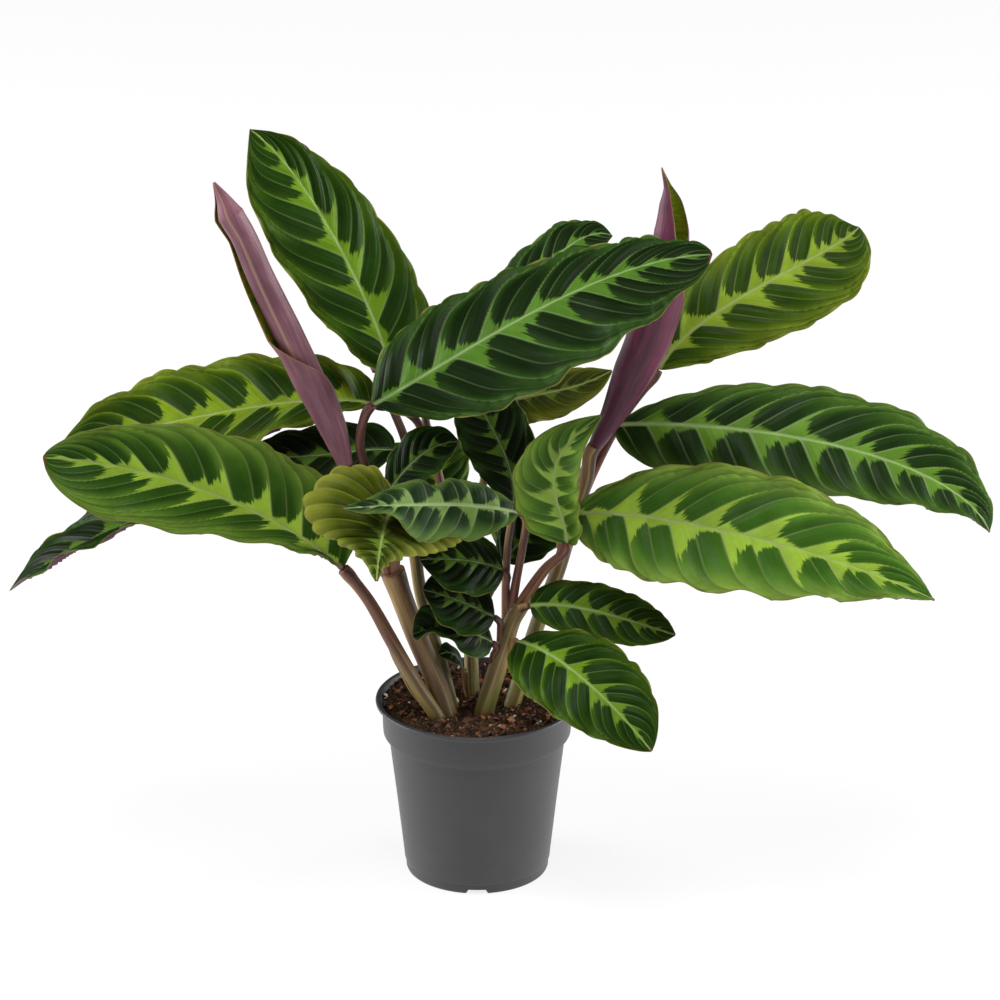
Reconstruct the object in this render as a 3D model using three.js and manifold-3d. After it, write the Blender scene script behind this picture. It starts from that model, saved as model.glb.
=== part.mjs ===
// Potted calathea: a nursery pot of peat with four leafy shoots.
// Millimetres, +Z up, origin on the ground at the middle of the pot.
// +X is the right-hand side of the plant and -Y is its front.
import * as THREE from "three";
import { mergeVertices } from "three/addons/utils/BufferGeometryUtils.js";
import Module from "manifold-3d";

const wasm = await Module();
wasm.setup();

// ---------------------------------------------------------------- driving dimensions
const POT_HEIGHT = 127;
const LIP_RADIUS = 70;
const LIP_THICK = 3;
const LIP_WIDTH = 3.3; // from its outer edge to the mouth
const COLLAR_RADIUS = 65.5;
const COLLAR_DROP = 25.5; // rim to the lower edge of the collar
const WALL_TOP_RADIUS = 61; // just under the collar
const FOOT_RADIUS = 49.6;
const FOOT_HEIGHT = 8;
const FOOT_STEP = 1;
const FOOT_BEVEL = 1.6;
const WALL = 1.8;
const FLOOR = 2.2;
const EASE = 0.8; // rounding of the moulded edges
const POT_SIDES = 48;
const DRAIN_COUNT = 3;
const DRAIN_WIDTH = 14;
const DRAIN_HEIGHT = 5;
const DRAIN_DEPTH = 5;
const DRAIN_FIRST = -Math.PI / 2; // one drain faces the front

const SOIL_LEVEL = 125.4;
const SOIL_MOUND = 0.8; // the middle stands this much over the edge
const SOIL_RELIEF = 1.6; // clods and hollows
const SOIL_SEED = 7;
const SOIL_RINGS = 7;
const SOIL_SIDES = 30;

const GAP = 0.3; // kept between pieces that touch
const BLADE_THICK = 0.8;
const RIB_KEEL = 1.4; // the midrib stands out this much under the blade
const BLADE_STEPS = 20;
const SMALL_BLADE = 45; // a blade narrower than this has fewer steps
const SMALL_STEPS = 12;
const BLADE_ACROSS = [-1, -0.5, 0, 0.5, 1];
const BLADE_END = 1.6; // width left at the base and at the tip
const BLUNT = [0.5, 0.8]; // fuller at the base than at the tip
const STEM_SIDES = 7;
const NECK = 7; // straight end of a petiole before its blade
const NECK_GAP = 1; // from the middle of its end to the blade, so that its edge keeps GAP

// ---------------------------------------------------------------- colours
const COLOUR = {
  pot: 0x4d4e50,
  soil: 0x3a2519,
  leaf: 0x2f6b1e,
  olive: 0x6b7a22,
  plum: 0x7a4560,
  sheath: 0x8d6a48,
};
const ROUGHNESS = { pot: 0.55, soil: 0.95, leaf: 0.45, olive: 0.45, plum: 0.5, sheath: 0.5 };

// ---------------------------------------------------------------- the leaves
// rib: four control points of the midrib from base to tip; wide: full width;
// widest: where it is widest, 0 at the base, or that place of its left and its right half;
// blunt: powers of the half width at base and tip, rounder where smaller;
// roll: turn about the midrib at base and tip, in degrees, positive lifts the right half as
// seen from the base; fold: rise of each half over its width; droop: how much the margins
// fall back; waves along each margin.
// A leaf with margins is a fan instead: each half spans from the midrib to a smooth line
// through the points given for its margin, bowed up between them by bow.
const LEAVES = [
  {
    name: "leaf_high_left", colour: "leaf",
    rib: [[-57, 4, 349], [-49, 24, 357], [-104, 41, 488], [-151, 49, 519]],
    wide: 88, widest: [0.65, 0.36], blunt: [0.9, 0.92],
    roll: [34, 31], fold: 0.08, droop: 0.13, waves: 5,
  },
  {
    name: "leaf_front_upper", colour: "leaf",
    rib: [[-69, -21, 349], [-18, -35, 383], [80, -54, 465], [153, -69, 470]],
    wide: 98, widest: [0.38, 0.52], blunt: [0.9, 0.57],
    roll: [-66, -24], fold: -0.08, droop: 0.22, waves: 6,
  },
  {
    name: "leaf_back_left", colour: "leaf",
    rib: [[-71, 24, 333], [-111, 40, 340], [-216, 48, 309], [-286, 50, 293]],
    wide: 90, widest: [0.71, 0.55], blunt: [0.41, 0.85],
    roll: [29, 35], fold: 0.16, droop: 0.07, waves: 5,
  },
  {
    name: "leaf_front_left", colour: "leaf",
    rib: [[-90, -33, 236], [-118, -38, 267], [-193, -49, 317], [-286, -59, 326]],
    wide: 90, widest: [0.74, 0.36], blunt: [0.55, 0.62],
    roll: [30, 60], fold: 0.33, droop: -0.03, waves: 5,
  },
  {
    name: "leaf_low_left", colour: "leaf",
    rib: [[-98, 8, 267], [-180, 14, 288], [-264, 16, 244], [-321, 18, 199]],
    wide: 74, widest: 0.62, roll: [6, 0], fold: 0.24, droop: 0, waves: 5,
  },
  {
    name: "leaf_back_centre", colour: "leaf",
    rib: [[-33, 34, 335], [7, 46, 372], [60, 60, 456], [92, 66, 439]],
    wide: 63, widest: 0.52, roll: [-16, -19], fold: 0.07, droop: 0.14, waves: 5,
  },
  {
    name: "leaf_upper_right", colour: "leaf",
    rib: [[124, 38, 353], [142, 44, 395], [244, 53, 430], [259, 67, 445]],
    wide: 80, widest: 0.61, roll: [-49, -46], fold: 0, droop: 0.18, waves: 5,
  },
  {
    name: "leaf_mid_right", colour: "leaf",
    rib: [[92, 16, 321], [171, 20, 325], [325, 14, 304], [347, -12, 254]],
    wide: 83, widest: [0.56, 0.36], blunt: [0.84, 1],
    roll: [-62, -28], fold: 0.12, droop: 0.09, waves: 6,
  },
  {
    name: "leaf_low_right", colour: "leaf",
    rib: [[62, -22, 271], [103, -44, 287], [229, -60, 264], [306, -64, 226]],
    wide: 98, widest: [0.58, 0.46], blunt: [0.9, 1.1],
    roll: [-67, -18], fold: 0.17, droop: 0.04, waves: 6,
  },
  {
    name: "leaf_small_right", colour: "leaf",
    rib: [[36, -26, 206], [66, -32, 214], [108, -39, 198], [134, -48, 194]],
    wide: 40, widest: 0.45, roll: [-52, -51], fold: 0.11, droop: 0.1, waves: 4,
  },
  {
    name: "leaf_drooping_right", colour: "leaf",
    rib: [[27, -28, 181], [45, -75, 199], [81, -109, 185], [116, -129, 145]],
    wide: 66, widest: [0.61, 0.46], blunt: [0.79, 0.77],
    roll: [-32, -41], fold: 0.06, droop: 0.13, waves: 5,
  },
  {
    name: "leaf_folded", colour: "leaf",
    rib: [[61, -37, 256], [60, -39, 287], [30, -42, 312], [84, -50, 353]],
    wide: 56, widest: [0.4, 0.48], blunt: [0.5, 1],
    roll: [4, -5], fold: 0.41, droop: -0.05, waves: 5, heading: 60,
  },
  {
    name: "leaf_dark_centre", colour: "leaf",
    rib: [[25, -6, 270], [29, 4, 302], [2, 8, 330], [-2, 4, 352]],
    wide: 51, widest: 0.55, roll: [-8, -9], fold: 0.09, droop: 0.1, waves: 4, heading: 100,
  },
  {
    name: "leaf_small_left", colour: "leaf",
    rib: [[-60, -20, 286], [-46, -20, 306], [-34, -19, 321], [-12, -16, 321]],
    wide: 40, widest: 0.55, roll: [-40, -38], fold: 0.13, droop: 0.08, waves: 3,
  },
  {
    name: "leaf_front_centre", colour: "leaf",
    rib: [[30, -25, 273], [-8, -50, 292], [-44, -78, 299], [-87, -108, 309]],
    wide: 50, widest: 0.49, roll: [0, 0], bow: [3, 3],
    margins: [
      [[29, -26, 273], [23, -34, 269], [11, -46, 267], [-4, -59, 266], [-17, -70, 274], [-32, -80, 273],
        [-41, -87, 279], [-48, -91, 290], [-57, -95, 300], [-72, -102, 303], [-86, -109, 309]],
      [[31, -24, 273], [23, -24, 281], [11, -28, 292], [-4, -36, 300], [-17, -45, 306], [-27, -51, 303],
        [-37, -59, 310], [-55, -73, 311], [-69, -86, 308], [-80, -97, 308], [-88, -107, 309]],
    ],
  },
  {
    name: "leaf_olive", colour: "olive",
    rib: [[-55, -35, 274], [-56, -62, 296], [-62, -97, 294], [-65, -113, 260]],
    wide: 99, widest: 0.36, roll: [0, 0], heading: 265, bow: [3, 5],
    margins: [
      [[-54, -35, 274], [-38, -40, 281], [-20, -54, 277], [-10, -64, 268], [-20, -70, 264], [-32, -80, 265],
        [-50, -90, 266], [-60, -101, 265], [-64, -113, 260]],
      [[-56, -35, 274], [-56, -39, 296], [-67, -42, 312], [-83, -48, 317], [-103, -58, 312], [-115, -72, 297],
        [-106, -84, 283], [-88, -92, 277], [-76, -99, 271], [-66, -113, 260]],
    ],
  },
  {
    name: "leaf_inner_left", colour: "leaf",
    rib: [[18, -16, 228], [4, -27, 240], [-18, -36, 245], [-38, -44, 247]],
    wide: 52, widest: 0.5, roll: [45, 45], fold: 0.1, droop: 0.15, waves: 3,
  },
  {
    name: "leaf_inner_low", colour: "leaf",
    rib: [[12, -24, 197], [-4, -32, 209], [-18, -38, 218], [-36, -46, 226]],
    wide: 48, widest: 0.5, roll: [50, 50], fold: 0.1, droop: 0.13, waves: 3,
  },
  {
    name: "leaf_curled", colour: "leaf",
    rib: [[11, -24, 178], [-4, -34, 192], [-25, -45, 200], [-43, -52, 196]],
    wide: 44, widest: 0.45, roll: [0, 0], bow: [2, 2],
    margins: [
      [[11, -25, 177], [8, -30, 172], [0, -42, 174], [-10, -48, 181], [-16, -50, 190], [-24, -54, 195],
        [-30, -56, 199], [-40, -55, 193], [-43, -53, 195]],
      [[11, -23, 179], [6, -27, 193], [-3, -30, 200], [-14, -33, 201], [-23, -36, 205], [-25, -38, 210],
        [-35, -43, 214], [-41, -49, 210], [-43, -51, 197]],
    ],
  },
  {
    name: "leaf_lowest", colour: "leaf",
    rib: [[-9, -6, 150], [-12, -12, 164], [-18, -16, 170], [-26, -18, 166]],
    wide: 20, widest: 0.5, roll: [30, 30], fold: 0.1, droop: 0.1, waves: 2,
  },
  {
    name: "leaf_shaded_left", colour: "leaf",
    rib: [[-56, 8, 306], [-86, 16, 306], [-118, 21, 290], [-160, 23, 298]],
    wide: 56, widest: 0.48, roll: [30, 30], fold: 0.12, droop: 0.1, waves: 3,
  },
  {
    name: "leaf_olive_back", colour: "olive",
    rib: [[16, 22, 319], [16, 32, 345], [50, 40, 326], [92, 44, 350]],
    wide: 42, widest: 0.49, roll: [-38, -39], fold: 0.06, droop: 0.15, waves: 3,
  },
  {
    name: "leaf_shaded_right", colour: "leaf",
    rib: [[18, 26, 218], [32, 34, 232], [44, 42, 240], [60, 50, 246]],
    wide: 44, widest: 0.5, roll: [-30, -30], fold: 0.1, droop: 0.1, waves: 3,
  },
  {
    name: "leaf_rear_left", colour: "leaf",
    rib: [[-22, 40, 250], [-34, 75, 292], [-44, 120, 280], [-50, 160, 236]],
    wide: 62, widest: 0.5, roll: [0, 0], fold: 0.12, droop: 0.12, waves: 5,
  },
  {
    name: "leaf_rear_right", colour: "leaf",
    rib: [[22, 44, 216], [34, 75, 250], [46, 112, 244], [54, 150, 206]],
    wide: 56, widest: 0.5, roll: [0, 0], fold: 0.12, droop: 0.12, waves: 4,
  },
];

// ---------------------------------------------------------------- the stems
// Each shoot is one body: its sheaths and petioles, thick to thin. A route with a leaf ends
// at that blade's base. radius: at its start and end.
const SHOOTS = [
  {
    name: "shoot_left",
    stems: [
      { route: [[-22, -26, 107], [-26, -28, 123], [-36, -27, 140], [-46, -27, 158], [-58, -28, 182], [-73, -30, 212]],
        radius: [6.4, 4], leaf: "leaf_front_left" },
      { route: [[-16, -22, 107], [-19, -23, 123], [-25, -20, 141], [-33, -18, 161], [-42, -17, 184], [-51, -17, 210],
        [-57, -18, 228]], radius: [7.5, 8.5] },
      { route: [[-14, -13, 107], [-17, -13, 123], [-23, -8, 149], [-31, -4, 178], [-38, -1, 205], [-42, 0, 235]],
        radius: [5.5, 4.5] },
      { route: [[-20, -17, 107], [-30, -12, 120], [-43, -9, 134], [-51, -8, 148], [-58, -8, 162], [-61, -8, 171]],
        radius: [3.4, 0.8] },
      { route: [[-57, -17, 225], [-66, -17, 262], [-74, -17, 300], [-78, -19, 322]],
        radius: [4, 3], leaf: "leaf_front_upper" },
      { route: [[-41, 0, 228], [-38, 5, 278], [-35, 9, 306], [-40, 14, 324], [-54, 19, 332]],
        radius: [3.4, 2.6], leaf: "leaf_back_left" },
      { route: [[-42, 0, 228], [-44, 0, 280], [-48, 1, 315]], radius: [3.4, 2.8], leaf: "leaf_high_left" },
      { route: [[-55, -17, 215], [-68, -10, 235], [-84, 2, 256]], radius: [3.6, 2.6], leaf: "leaf_low_left" },
      { route: [[-42, 0, 228], [-46, 3, 272], [-50, 5, 296]], radius: [3, 2.2], leaf: "leaf_shaded_left" },
      { route: [[-56, -19, 224], [-54, -25, 250]], radius: [3.6, 2.6], leaf: "leaf_olive" },
      { route: [[-56, -16, 218], [-62, -18, 250]], radius: [3, 2.2], leaf: "leaf_small_left" },
      { route: [[-57, -18, 222], [-70, -19, 255], [-80, -20, 282]], radius: [4.4, 5], spear: "spear_left" },
    ],
  },
  {
    name: "shoot_centre",
    stems: [
      { route: [[3, -20, 107], [5, -21, 123], [9, -19, 138], [14, -17, 154], [19, -15, 171], [24, -14, 189],
        [30, -15, 203]], radius: [7.5, 6.5] },
      { route: [[28, -15, 198], [36, -19, 214], [47, -25, 233]], radius: [4.4, 3], leaf: "leaf_folded" },
      { route: [[22, -14, 188], [27, -16, 221], [31, -18, 245]], radius: [3.4, 2.4], leaf: "leaf_front_centre" },
      { route: [[20, -14, 182], [20, -11, 226], [22, -9, 250]], radius: [3.2, 2.4], leaf: "leaf_dark_centre" },
      { route: [[26, -15, 195], [30, -18, 200]], radius: [3, 2.2], leaf: "leaf_small_right" },
      { route: [[20, -14, 168], [24, -19, 170]], radius: [3, 2.2], leaf: "leaf_drooping_right" },
      { route: [[22, -14, 190], [20, -14, 215]], radius: [2.8, 2], leaf: "leaf_inner_left" },
      { route: [[16, -14, 170], [16, -19, 185]], radius: [2.8, 2], leaf: "leaf_inner_low" },
      { route: [[12, -14, 150], [11, -19, 166]], radius: [2.6, 2], leaf: "leaf_curled" },
    ],
  },
  {
    name: "shoot_right",
    stems: [
      { route: [[21, -10, 107], [24, -9, 123], [30, -3, 141], [37, 1, 165], [45, 3, 190], [55, 3, 218], [61, 2, 239],
        [68, 1, 265], [75, 1, 290]], radius: [6.5, 4.8], spear: "spear_right" },
      { route: [[66, 3, 256], [74, 11, 277], [86, 22, 300], [98, 29, 320], [112, 34, 338]],
        radius: [4, 2.8], leaf: "leaf_upper_right" },
      { route: [[66, 3, 258], [72, 9, 285], [80, 13, 308]], radius: [4, 2.8], leaf: "leaf_mid_right" },
      { route: [[59, 2, 232], [57, -6, 250]], radius: [4, 2.8], leaf: "leaf_low_right" },
    ],
  },
  {
    name: "shoot_back",
    stems: [
      { route: [[-3, 10, 107], [-3, 11, 123], [-4, 17, 152], [-6, 23, 185], [-10, 28, 215]], radius: [5.5, 5] },
      { route: [[-9, 27, 208], [-22, 30, 262], [-32, 32, 305]], radius: [3.4, 2.6], leaf: "leaf_back_centre" },
      { route: [[-8, 27, 208], [2, 27, 262], [10, 25, 300]], radius: [3.4, 2.4], leaf: "leaf_olive_back" },
      { route: [[-6, 23, 180], [2, 23, 205]], radius: [3, 2.2], leaf: "leaf_shaded_right" },
      { route: [[-10, 28, 208], [-17, 32, 232]], radius: [3.4, 2.6], leaf: "leaf_rear_left" },
      { route: [[-5, 21, 168], [8, 32, 190]], radius: [3.2, 2.4], leaf: "leaf_rear_right" },
      { route: [[-5, 8, 107], [-6, 5, 123], [-8, 0, 137]], radius: [2, 1.8], leaf: "leaf_lowest" },
    ],
  },
];

// Leaves still rolled up: a tapering scroll round a curved axis. radius: along the axis.
const SPEARS = [
  {
    name: "spear_left",
    axis: [[-88, -20, 306], [-96, -20, 331], [-111, -21, 367], [-126, -22, 402], [-143, -22, 441], [-153, -22, 467],
      [-161, -22, 482], [-165, -22, 492], [-171, -22, 504]],
    radius: [5.5, 9.6, 12, 11.2, 10, 9.4, 9.8, 5.5, 0.8],
    seam: 3.9,
  },
  {
    name: "spear_right",
    axis: [[80, 1, 312], [92, 1, 335], [104, 1, 364], [114, 2, 387], [122, 3, 415], [128, 4, 442], [130, 4, 463],
      [129, 5, 482], [127, 5, 493], [123, 5, 506]],
    radius: [4.8, 8.8, 13.5, 15.5, 15.5, 14.5, 12.5, 8, 3, 0.8],
    seam: 5.2,
  },
];
const SPEAR_GAP = 0.5; // between a rolled leaf and the petiole that it stands on
const SPEAR_STEPS = 27;
const SPEAR_SIDES = 12;
const SCROLL_GROWTH = 0.22; // how far the outer lap stands over the inner one

// ---------------------------------------------------------------- helpers
const vec = (p) => new THREE.Vector3(...p);
const lerp = THREE.MathUtils.lerp;
const rad = THREE.MathUtils.degToRad;

// Seeded random numbers, the same on every run.
function seeded(seed) {
  let state = seed >>> 0;
  return () => {
    state = (Math.imul(state, 1664525) + 1013904223) >>> 0;
    return state / 4294967296;
  };
}

function geometryOf(positions, faces) {
  const geometry = new THREE.BufferGeometry();
  geometry.setAttribute("position", new THREE.Float32BufferAttribute(positions.flat(), 3));
  geometry.setIndex(faces.flat());
  return geometry;
}

function solidOf(geometry) {
  const bare = geometry.clone();
  bare.deleteAttribute("normal");
  bare.deleteAttribute("uv");
  const merged = mergeVertices(bare, 1e-4);
  return new wasm.Manifold(
    new wasm.Mesh({
      numProp: 3,
      vertProperties: merged.attributes.position.array,
      triVerts: new Uint32Array(merged.index.array),
    }),
  );
}

function geometryFrom(solid) {
  const mesh = solid.getMesh();
  const geometry = new THREE.BufferGeometry();
  geometry.setAttribute("position", new THREE.BufferAttribute(mesh.vertProperties, 3));
  geometry.setIndex(new THREE.BufferAttribute(mesh.triVerts, 1));
  return geometry;
}

function material(kind) {
  return new THREE.MeshStandardMaterial({
    color: COLOUR[kind],
    roughness: ROUGHNESS[kind],
    metalness: 0,
    flatShading: true,
  });
}

function part(name, geometry, kind) {
  const mesh = new THREE.Mesh(geometry, material(kind));
  mesh.name = name;
  return mesh;
}

// A closed skin over rings of equal size: side walls between them and a fan over each end.
function loft(rings) {
  const sides = rings[0].length;
  const last = (rings.length - 1) * sides;
  const positions = rings.flat().map((p) => p.toArray());
  const faces = [];
  for (let i = 0; i < rings.length - 1; i++) {
    for (let j = 0; j < sides; j++) {
      const a = i * sides + j;
      const b = i * sides + ((j + 1) % sides);
      faces.push([a, b, b + sides], [a, b + sides, a + sides]);
    }
  }
  for (let j = 1; j < sides - 1; j++) {
    faces.push([0, j + 1, j], [last, last + j, last + j + 1]);
  }
  return geometryOf(positions, faces);
}

// ---------------------------------------------------------------- blades
// Half width along one side of the leaf: a rounded lozenge.
function halfWidth(leaf, t, s) {
  const [left, right] = [leaf.widest].flat();
  const widest = s > 0 ? (right ?? left) : left;
  const u = Math.pow(t, Math.log(0.5) / Math.log(widest));
  const round = Math.max(0, 1 - Math.pow(Math.abs(2 * u - 1), 2.3));
  const power = lerp(...(leaf.blunt ?? BLUNT), t);
  return Math.max(0.5 * leaf.wide * Math.pow(round, power), BLADE_END / 2);
}

// The frame at t: point on the midrib, its direction, the way to the right and up.
function ribFrame(leaf, t) {
  const curve = new THREE.CubicBezierCurve3(...leaf.rib.map(vec));
  const point = curve.getPoint(t);
  const along = curve.getTangent(t);
  const reach = vec(leaf.rib[3]).sub(vec(leaf.rib[0]));
  if (leaf.heading !== undefined) {
    reach.set(Math.cos(rad(leaf.heading)), Math.sin(rad(leaf.heading)), 0);
  }
  const level = new THREE.Vector3(reach.y, -reach.x, 0).normalize();
  const right = level.addScaledVector(along, -level.dot(along)).normalize();
  const up = right.clone().cross(along);
  const roll = rad(lerp(leaf.roll[0], leaf.roll[1], t));
  const turnedRight = right.clone().multiplyScalar(Math.cos(roll)).addScaledVector(up, Math.sin(roll));
  const turnedUp = up.multiplyScalar(Math.cos(roll)).addScaledVector(right, -Math.sin(roll));
  return { point, along, right: turnedRight, up: turnedUp };
}

// A point of the blade's middle surface: s runs from -1 at the left margin to 1 at the right.
function bladePoint(leaf, t, s) {
  const { point, right, up } = ribFrame(leaf, t);
  if (leaf.margins) {
    const half = s > 0 ? 1 : 0;
    const margin = new THREE.CatmullRomCurve3(leaf.margins[half].map(vec), false, "centripetal");
    const bowed = 4 * leaf.bow[half] * Math.abs(s) * (1 - Math.abs(s)) * Math.sin(Math.PI * t);
    return point.lerp(margin.getPoint(t), Math.abs(s)).addScaledVector(up, bowed);
  }
  const half = halfWidth(leaf, t, s);
  const tilt = Math.hypot(1, leaf.fold);
  const out = Math.abs(s);
  const phase = leaf.waves * t - 0.5 * out + (s > 0 ? 0.35 : 0);
  const wave = 0.045 * leaf.wide * Math.pow(out, 1.5) * Math.sqrt(Math.sin(Math.PI * t));
  const ripple = wave * Math.sin(2 * Math.PI * phase);
  const rise = half * ((leaf.fold * out) / tilt - leaf.droop * s * s) + ripple;
  return point.addScaledVector(right, (half * s) / tilt).addScaledVector(up, rise);
}

// Both faces are the middle surface moved half a thickness along its own normal, with the
// same triangles on each; the lower face drops further at the midrib, as its keel.
function blade(leaf) {
  const across = BLADE_ACROSS.length;
  const steps = leaf.wide < SMALL_BLADE ? SMALL_STEPS : BLADE_STEPS;
  const rings = [];
  for (let i = 0; i <= steps; i++) {
    const t = i / steps;
    const step = 0.01;
    const top = [];
    const under = [];
    for (const s of BLADE_ACROSS) {
      const here = bladePoint(leaf, t, s);
      const lengthwise = bladePoint(leaf, Math.min(t + step, 1), s).sub(bladePoint(leaf, Math.max(t - step, 0), s));
      const crosswise = bladePoint(leaf, t, Math.min(s + step, 1)).sub(bladePoint(leaf, t, Math.max(s - step, -1)));
      const normal = crosswise.cross(lengthwise).normalize();
      const keel = s === 0 ? RIB_KEEL * (1 - 0.7 * t) : 0;
      top.push(here.clone().addScaledVector(normal, BLADE_THICK / 2));
      under.push(here.clone().addScaledVector(normal, -BLADE_THICK / 2 - keel));
    }
    rings.push([...top, ...under]);
  }
  const positions = rings.flat().map((p) => p.toArray());
  const size = 2 * across;
  const faces = [];
  for (let i = 0; i < steps; i++) {
    for (let j = 0; j < across - 1; j++) {
      const a = i * size + j;
      const b = a + 1;
      const c = a + size;
      const d = b + size;
      faces.push([a, b, d], [a, d, c]);
      faces.push([a + across, d + across, b + across], [a + across, c + across, d + across]);
    }
    for (const j of [0, across - 1]) {
      const a = i * size + j;
      const b = a + across;
      const c = a + size;
      const d = b + size;
      faces.push(...(j === 0 ? [[a, c, d], [a, d, b]] : [[a, b, d], [a, d, c]]));
    }
  }
  for (let j = 0; j < across - 1; j++) {
    const a = j;
    const b = j + across;
    const end = steps * size;
    faces.push([a, b, b + 1], [a, b + 1, a + 1]);
    faces.push([end + a, end + b + 1, end + b], [end + a, end + a + 1, end + b + 1]);
  }
  return geometryOf(positions, faces);
}

// ---------------------------------------------------------------- stems
const leafNamed = (name) => LEAVES.find((leaf) => leaf.name === name);

// The route's points, led into the blade's base where it carries a leaf: the neck halves the
// angle between the petiole and the midrib.
function routeOf(stem) {
  const points = stem.route.map(vec);
  if (stem.leaf) {
    const { point, along } = ribFrame(leafNamed(stem.leaf), 0);
    const climb = point.clone().sub(points[points.length - 1]).normalize();
    const neck = climb.add(along).normalize();
    points.push(point.clone().addScaledVector(neck, -NECK));
    points.push(point.clone().addScaledVector(neck, -NECK_GAP));
  }
  if (stem.spear) {
    const [start, next] = SPEARS.find((leaf) => leaf.name === stem.spear).axis.map(vec);
    const along = next.clone().sub(start).normalize();
    points.push(start.clone().addScaledVector(along, -NECK));
    points.push(start.clone().addScaledVector(along, -SPEAR_GAP));
  }
  return points;
}

function stemGeometry(stem, grow = 0) {
  const points = routeOf(stem);
  const curve = new THREE.CatmullRomCurve3(points, false, "centripetal");
  const steps = Math.max(3, Math.min(14, Math.round(curve.getLength() / 14)));
  const frames = curve.computeFrenetFrames(steps);
  const rings = [];
  for (let i = 0; i <= steps; i++) {
    const centre = curve.getPointAt(i / steps);
    const radius = lerp(stem.radius[0], stem.radius[1], i / steps) + grow;
    const ring = [];
    for (let j = 0; j < STEM_SIDES; j++) {
      const angle = (2 * Math.PI * j) / STEM_SIDES;
      const point = centre.clone().addScaledVector(frames.normals[i], radius * Math.cos(angle));
      ring.push(point.addScaledVector(frames.binormals[i], radius * Math.sin(angle)));
    }
    rings.push(ring);
  }
  return loft(rings);
}

const shootSolid = (shoot, grow = 0) =>
  shoot.stems.map((stem) => solidOf(stemGeometry(stem, grow))).reduce((whole, piece) => whole.add(piece));

// ---------------------------------------------------------------- rolled leaves
function valueAlong(list, t) {
  const place = t * (list.length - 1);
  const i = Math.min(Math.floor(place), list.length - 2);
  return lerp(list[i], list[i + 1], place - i);
}

// The section is one turn of a spiral, so the outer lap ends in a raised edge along the leaf.
function spear(leaf) {
  const curve = new THREE.CatmullRomCurve3(leaf.axis.map(vec), false, "centripetal");
  const rings = [];
  for (let i = 0; i <= SPEAR_STEPS; i++) {
    const t = i / SPEAR_STEPS;
    const centre = curve.getPoint(t);
    const along = curve.getTangent(t);
    const side = new THREE.Vector3(along.z, 0, -along.x).normalize();
    const back = side.clone().cross(along).negate();
    const radius = valueAlong(leaf.radius, t);
    const ring = [];
    for (let j = 0; j < SPEAR_SIDES; j++) {
      const turn = j / (SPEAR_SIDES - 1);
      const angle = leaf.seam + 2 * Math.PI * (j / SPEAR_SIDES);
      const r = radius * (1 - SCROLL_GROWTH + SCROLL_GROWTH * turn);
      ring.push(
        centre.clone().addScaledVector(side, r * Math.cos(angle)).addScaledVector(back, r * Math.sin(angle)),
      );
    }
    rings.push(ring);
  }
  return loft(rings);
}

// ---------------------------------------------------------------- pot and soil
const COLLAR_Z = POT_HEIGHT - COLLAR_DROP;
const BRIM_Z = POT_HEIGHT - LIP_THICK - EASE; // the lip flares out from here
const MOUTH = LIP_RADIUS - LIP_WIDTH; // inner radius at the rim
const THROAT = COLLAR_RADIUS - WALL; // inner radius under the lip
const STEP_IN = THROAT - 0.8; // inner radius just over the collar's ledge

function innerRadius(z) {
  const up = (z - FOOT_HEIGHT) / (COLLAR_Z - FOOT_HEIGHT);
  return lerp(FOOT_RADIUS + FOOT_STEP, WALL_TOP_RADIUS, up) - WALL;
}

function potSolid() {
  const profile = [
    [0, 0],
    [FOOT_RADIUS - FOOT_BEVEL, 0],
    [FOOT_RADIUS, FOOT_BEVEL],
    [FOOT_RADIUS, FOOT_HEIGHT - FOOT_STEP],
    [FOOT_RADIUS + FOOT_STEP, FOOT_HEIGHT],
    [WALL_TOP_RADIUS, COLLAR_Z],
    [COLLAR_RADIUS - 2 * EASE, COLLAR_Z],
    [COLLAR_RADIUS - EASE, COLLAR_Z + EASE],
    [COLLAR_RADIUS, BRIM_Z],
    [LIP_RADIUS - EASE, POT_HEIGHT - LIP_THICK],
    [LIP_RADIUS, POT_HEIGHT - LIP_THICK / 2],
    [LIP_RADIUS - EASE, POT_HEIGHT],
    [MOUTH, POT_HEIGHT],
    [THROAT, BRIM_Z],
    [STEP_IN, COLLAR_Z + WALL],
    [innerRadius(COLLAR_Z), COLLAR_Z + WALL / 2],
    [innerRadius(FOOT_HEIGHT), FOOT_HEIGHT],
    [FOOT_RADIUS - WALL, FLOOR],
    [0, FLOOR],
  ].map(([r, z]) => new THREE.Vector2(r, z));
  const cup = new THREE.LatheGeometry(profile, POT_SIDES).rotateX(Math.PI / 2);
  let solid = solidOf(cup);
  for (let i = 0; i < DRAIN_COUNT; i++) {
    const angle = DRAIN_FIRST + (2 * Math.PI * i) / DRAIN_COUNT;
    const slot = new THREE.BoxGeometry(2 * DRAIN_DEPTH, DRAIN_WIDTH, 2 * DRAIN_HEIGHT);
    slot.translate(FOOT_RADIUS, 0, 0).rotateZ(angle);
    solid = solid.subtract(solidOf(slot));
  }
  return solid;
}

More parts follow.
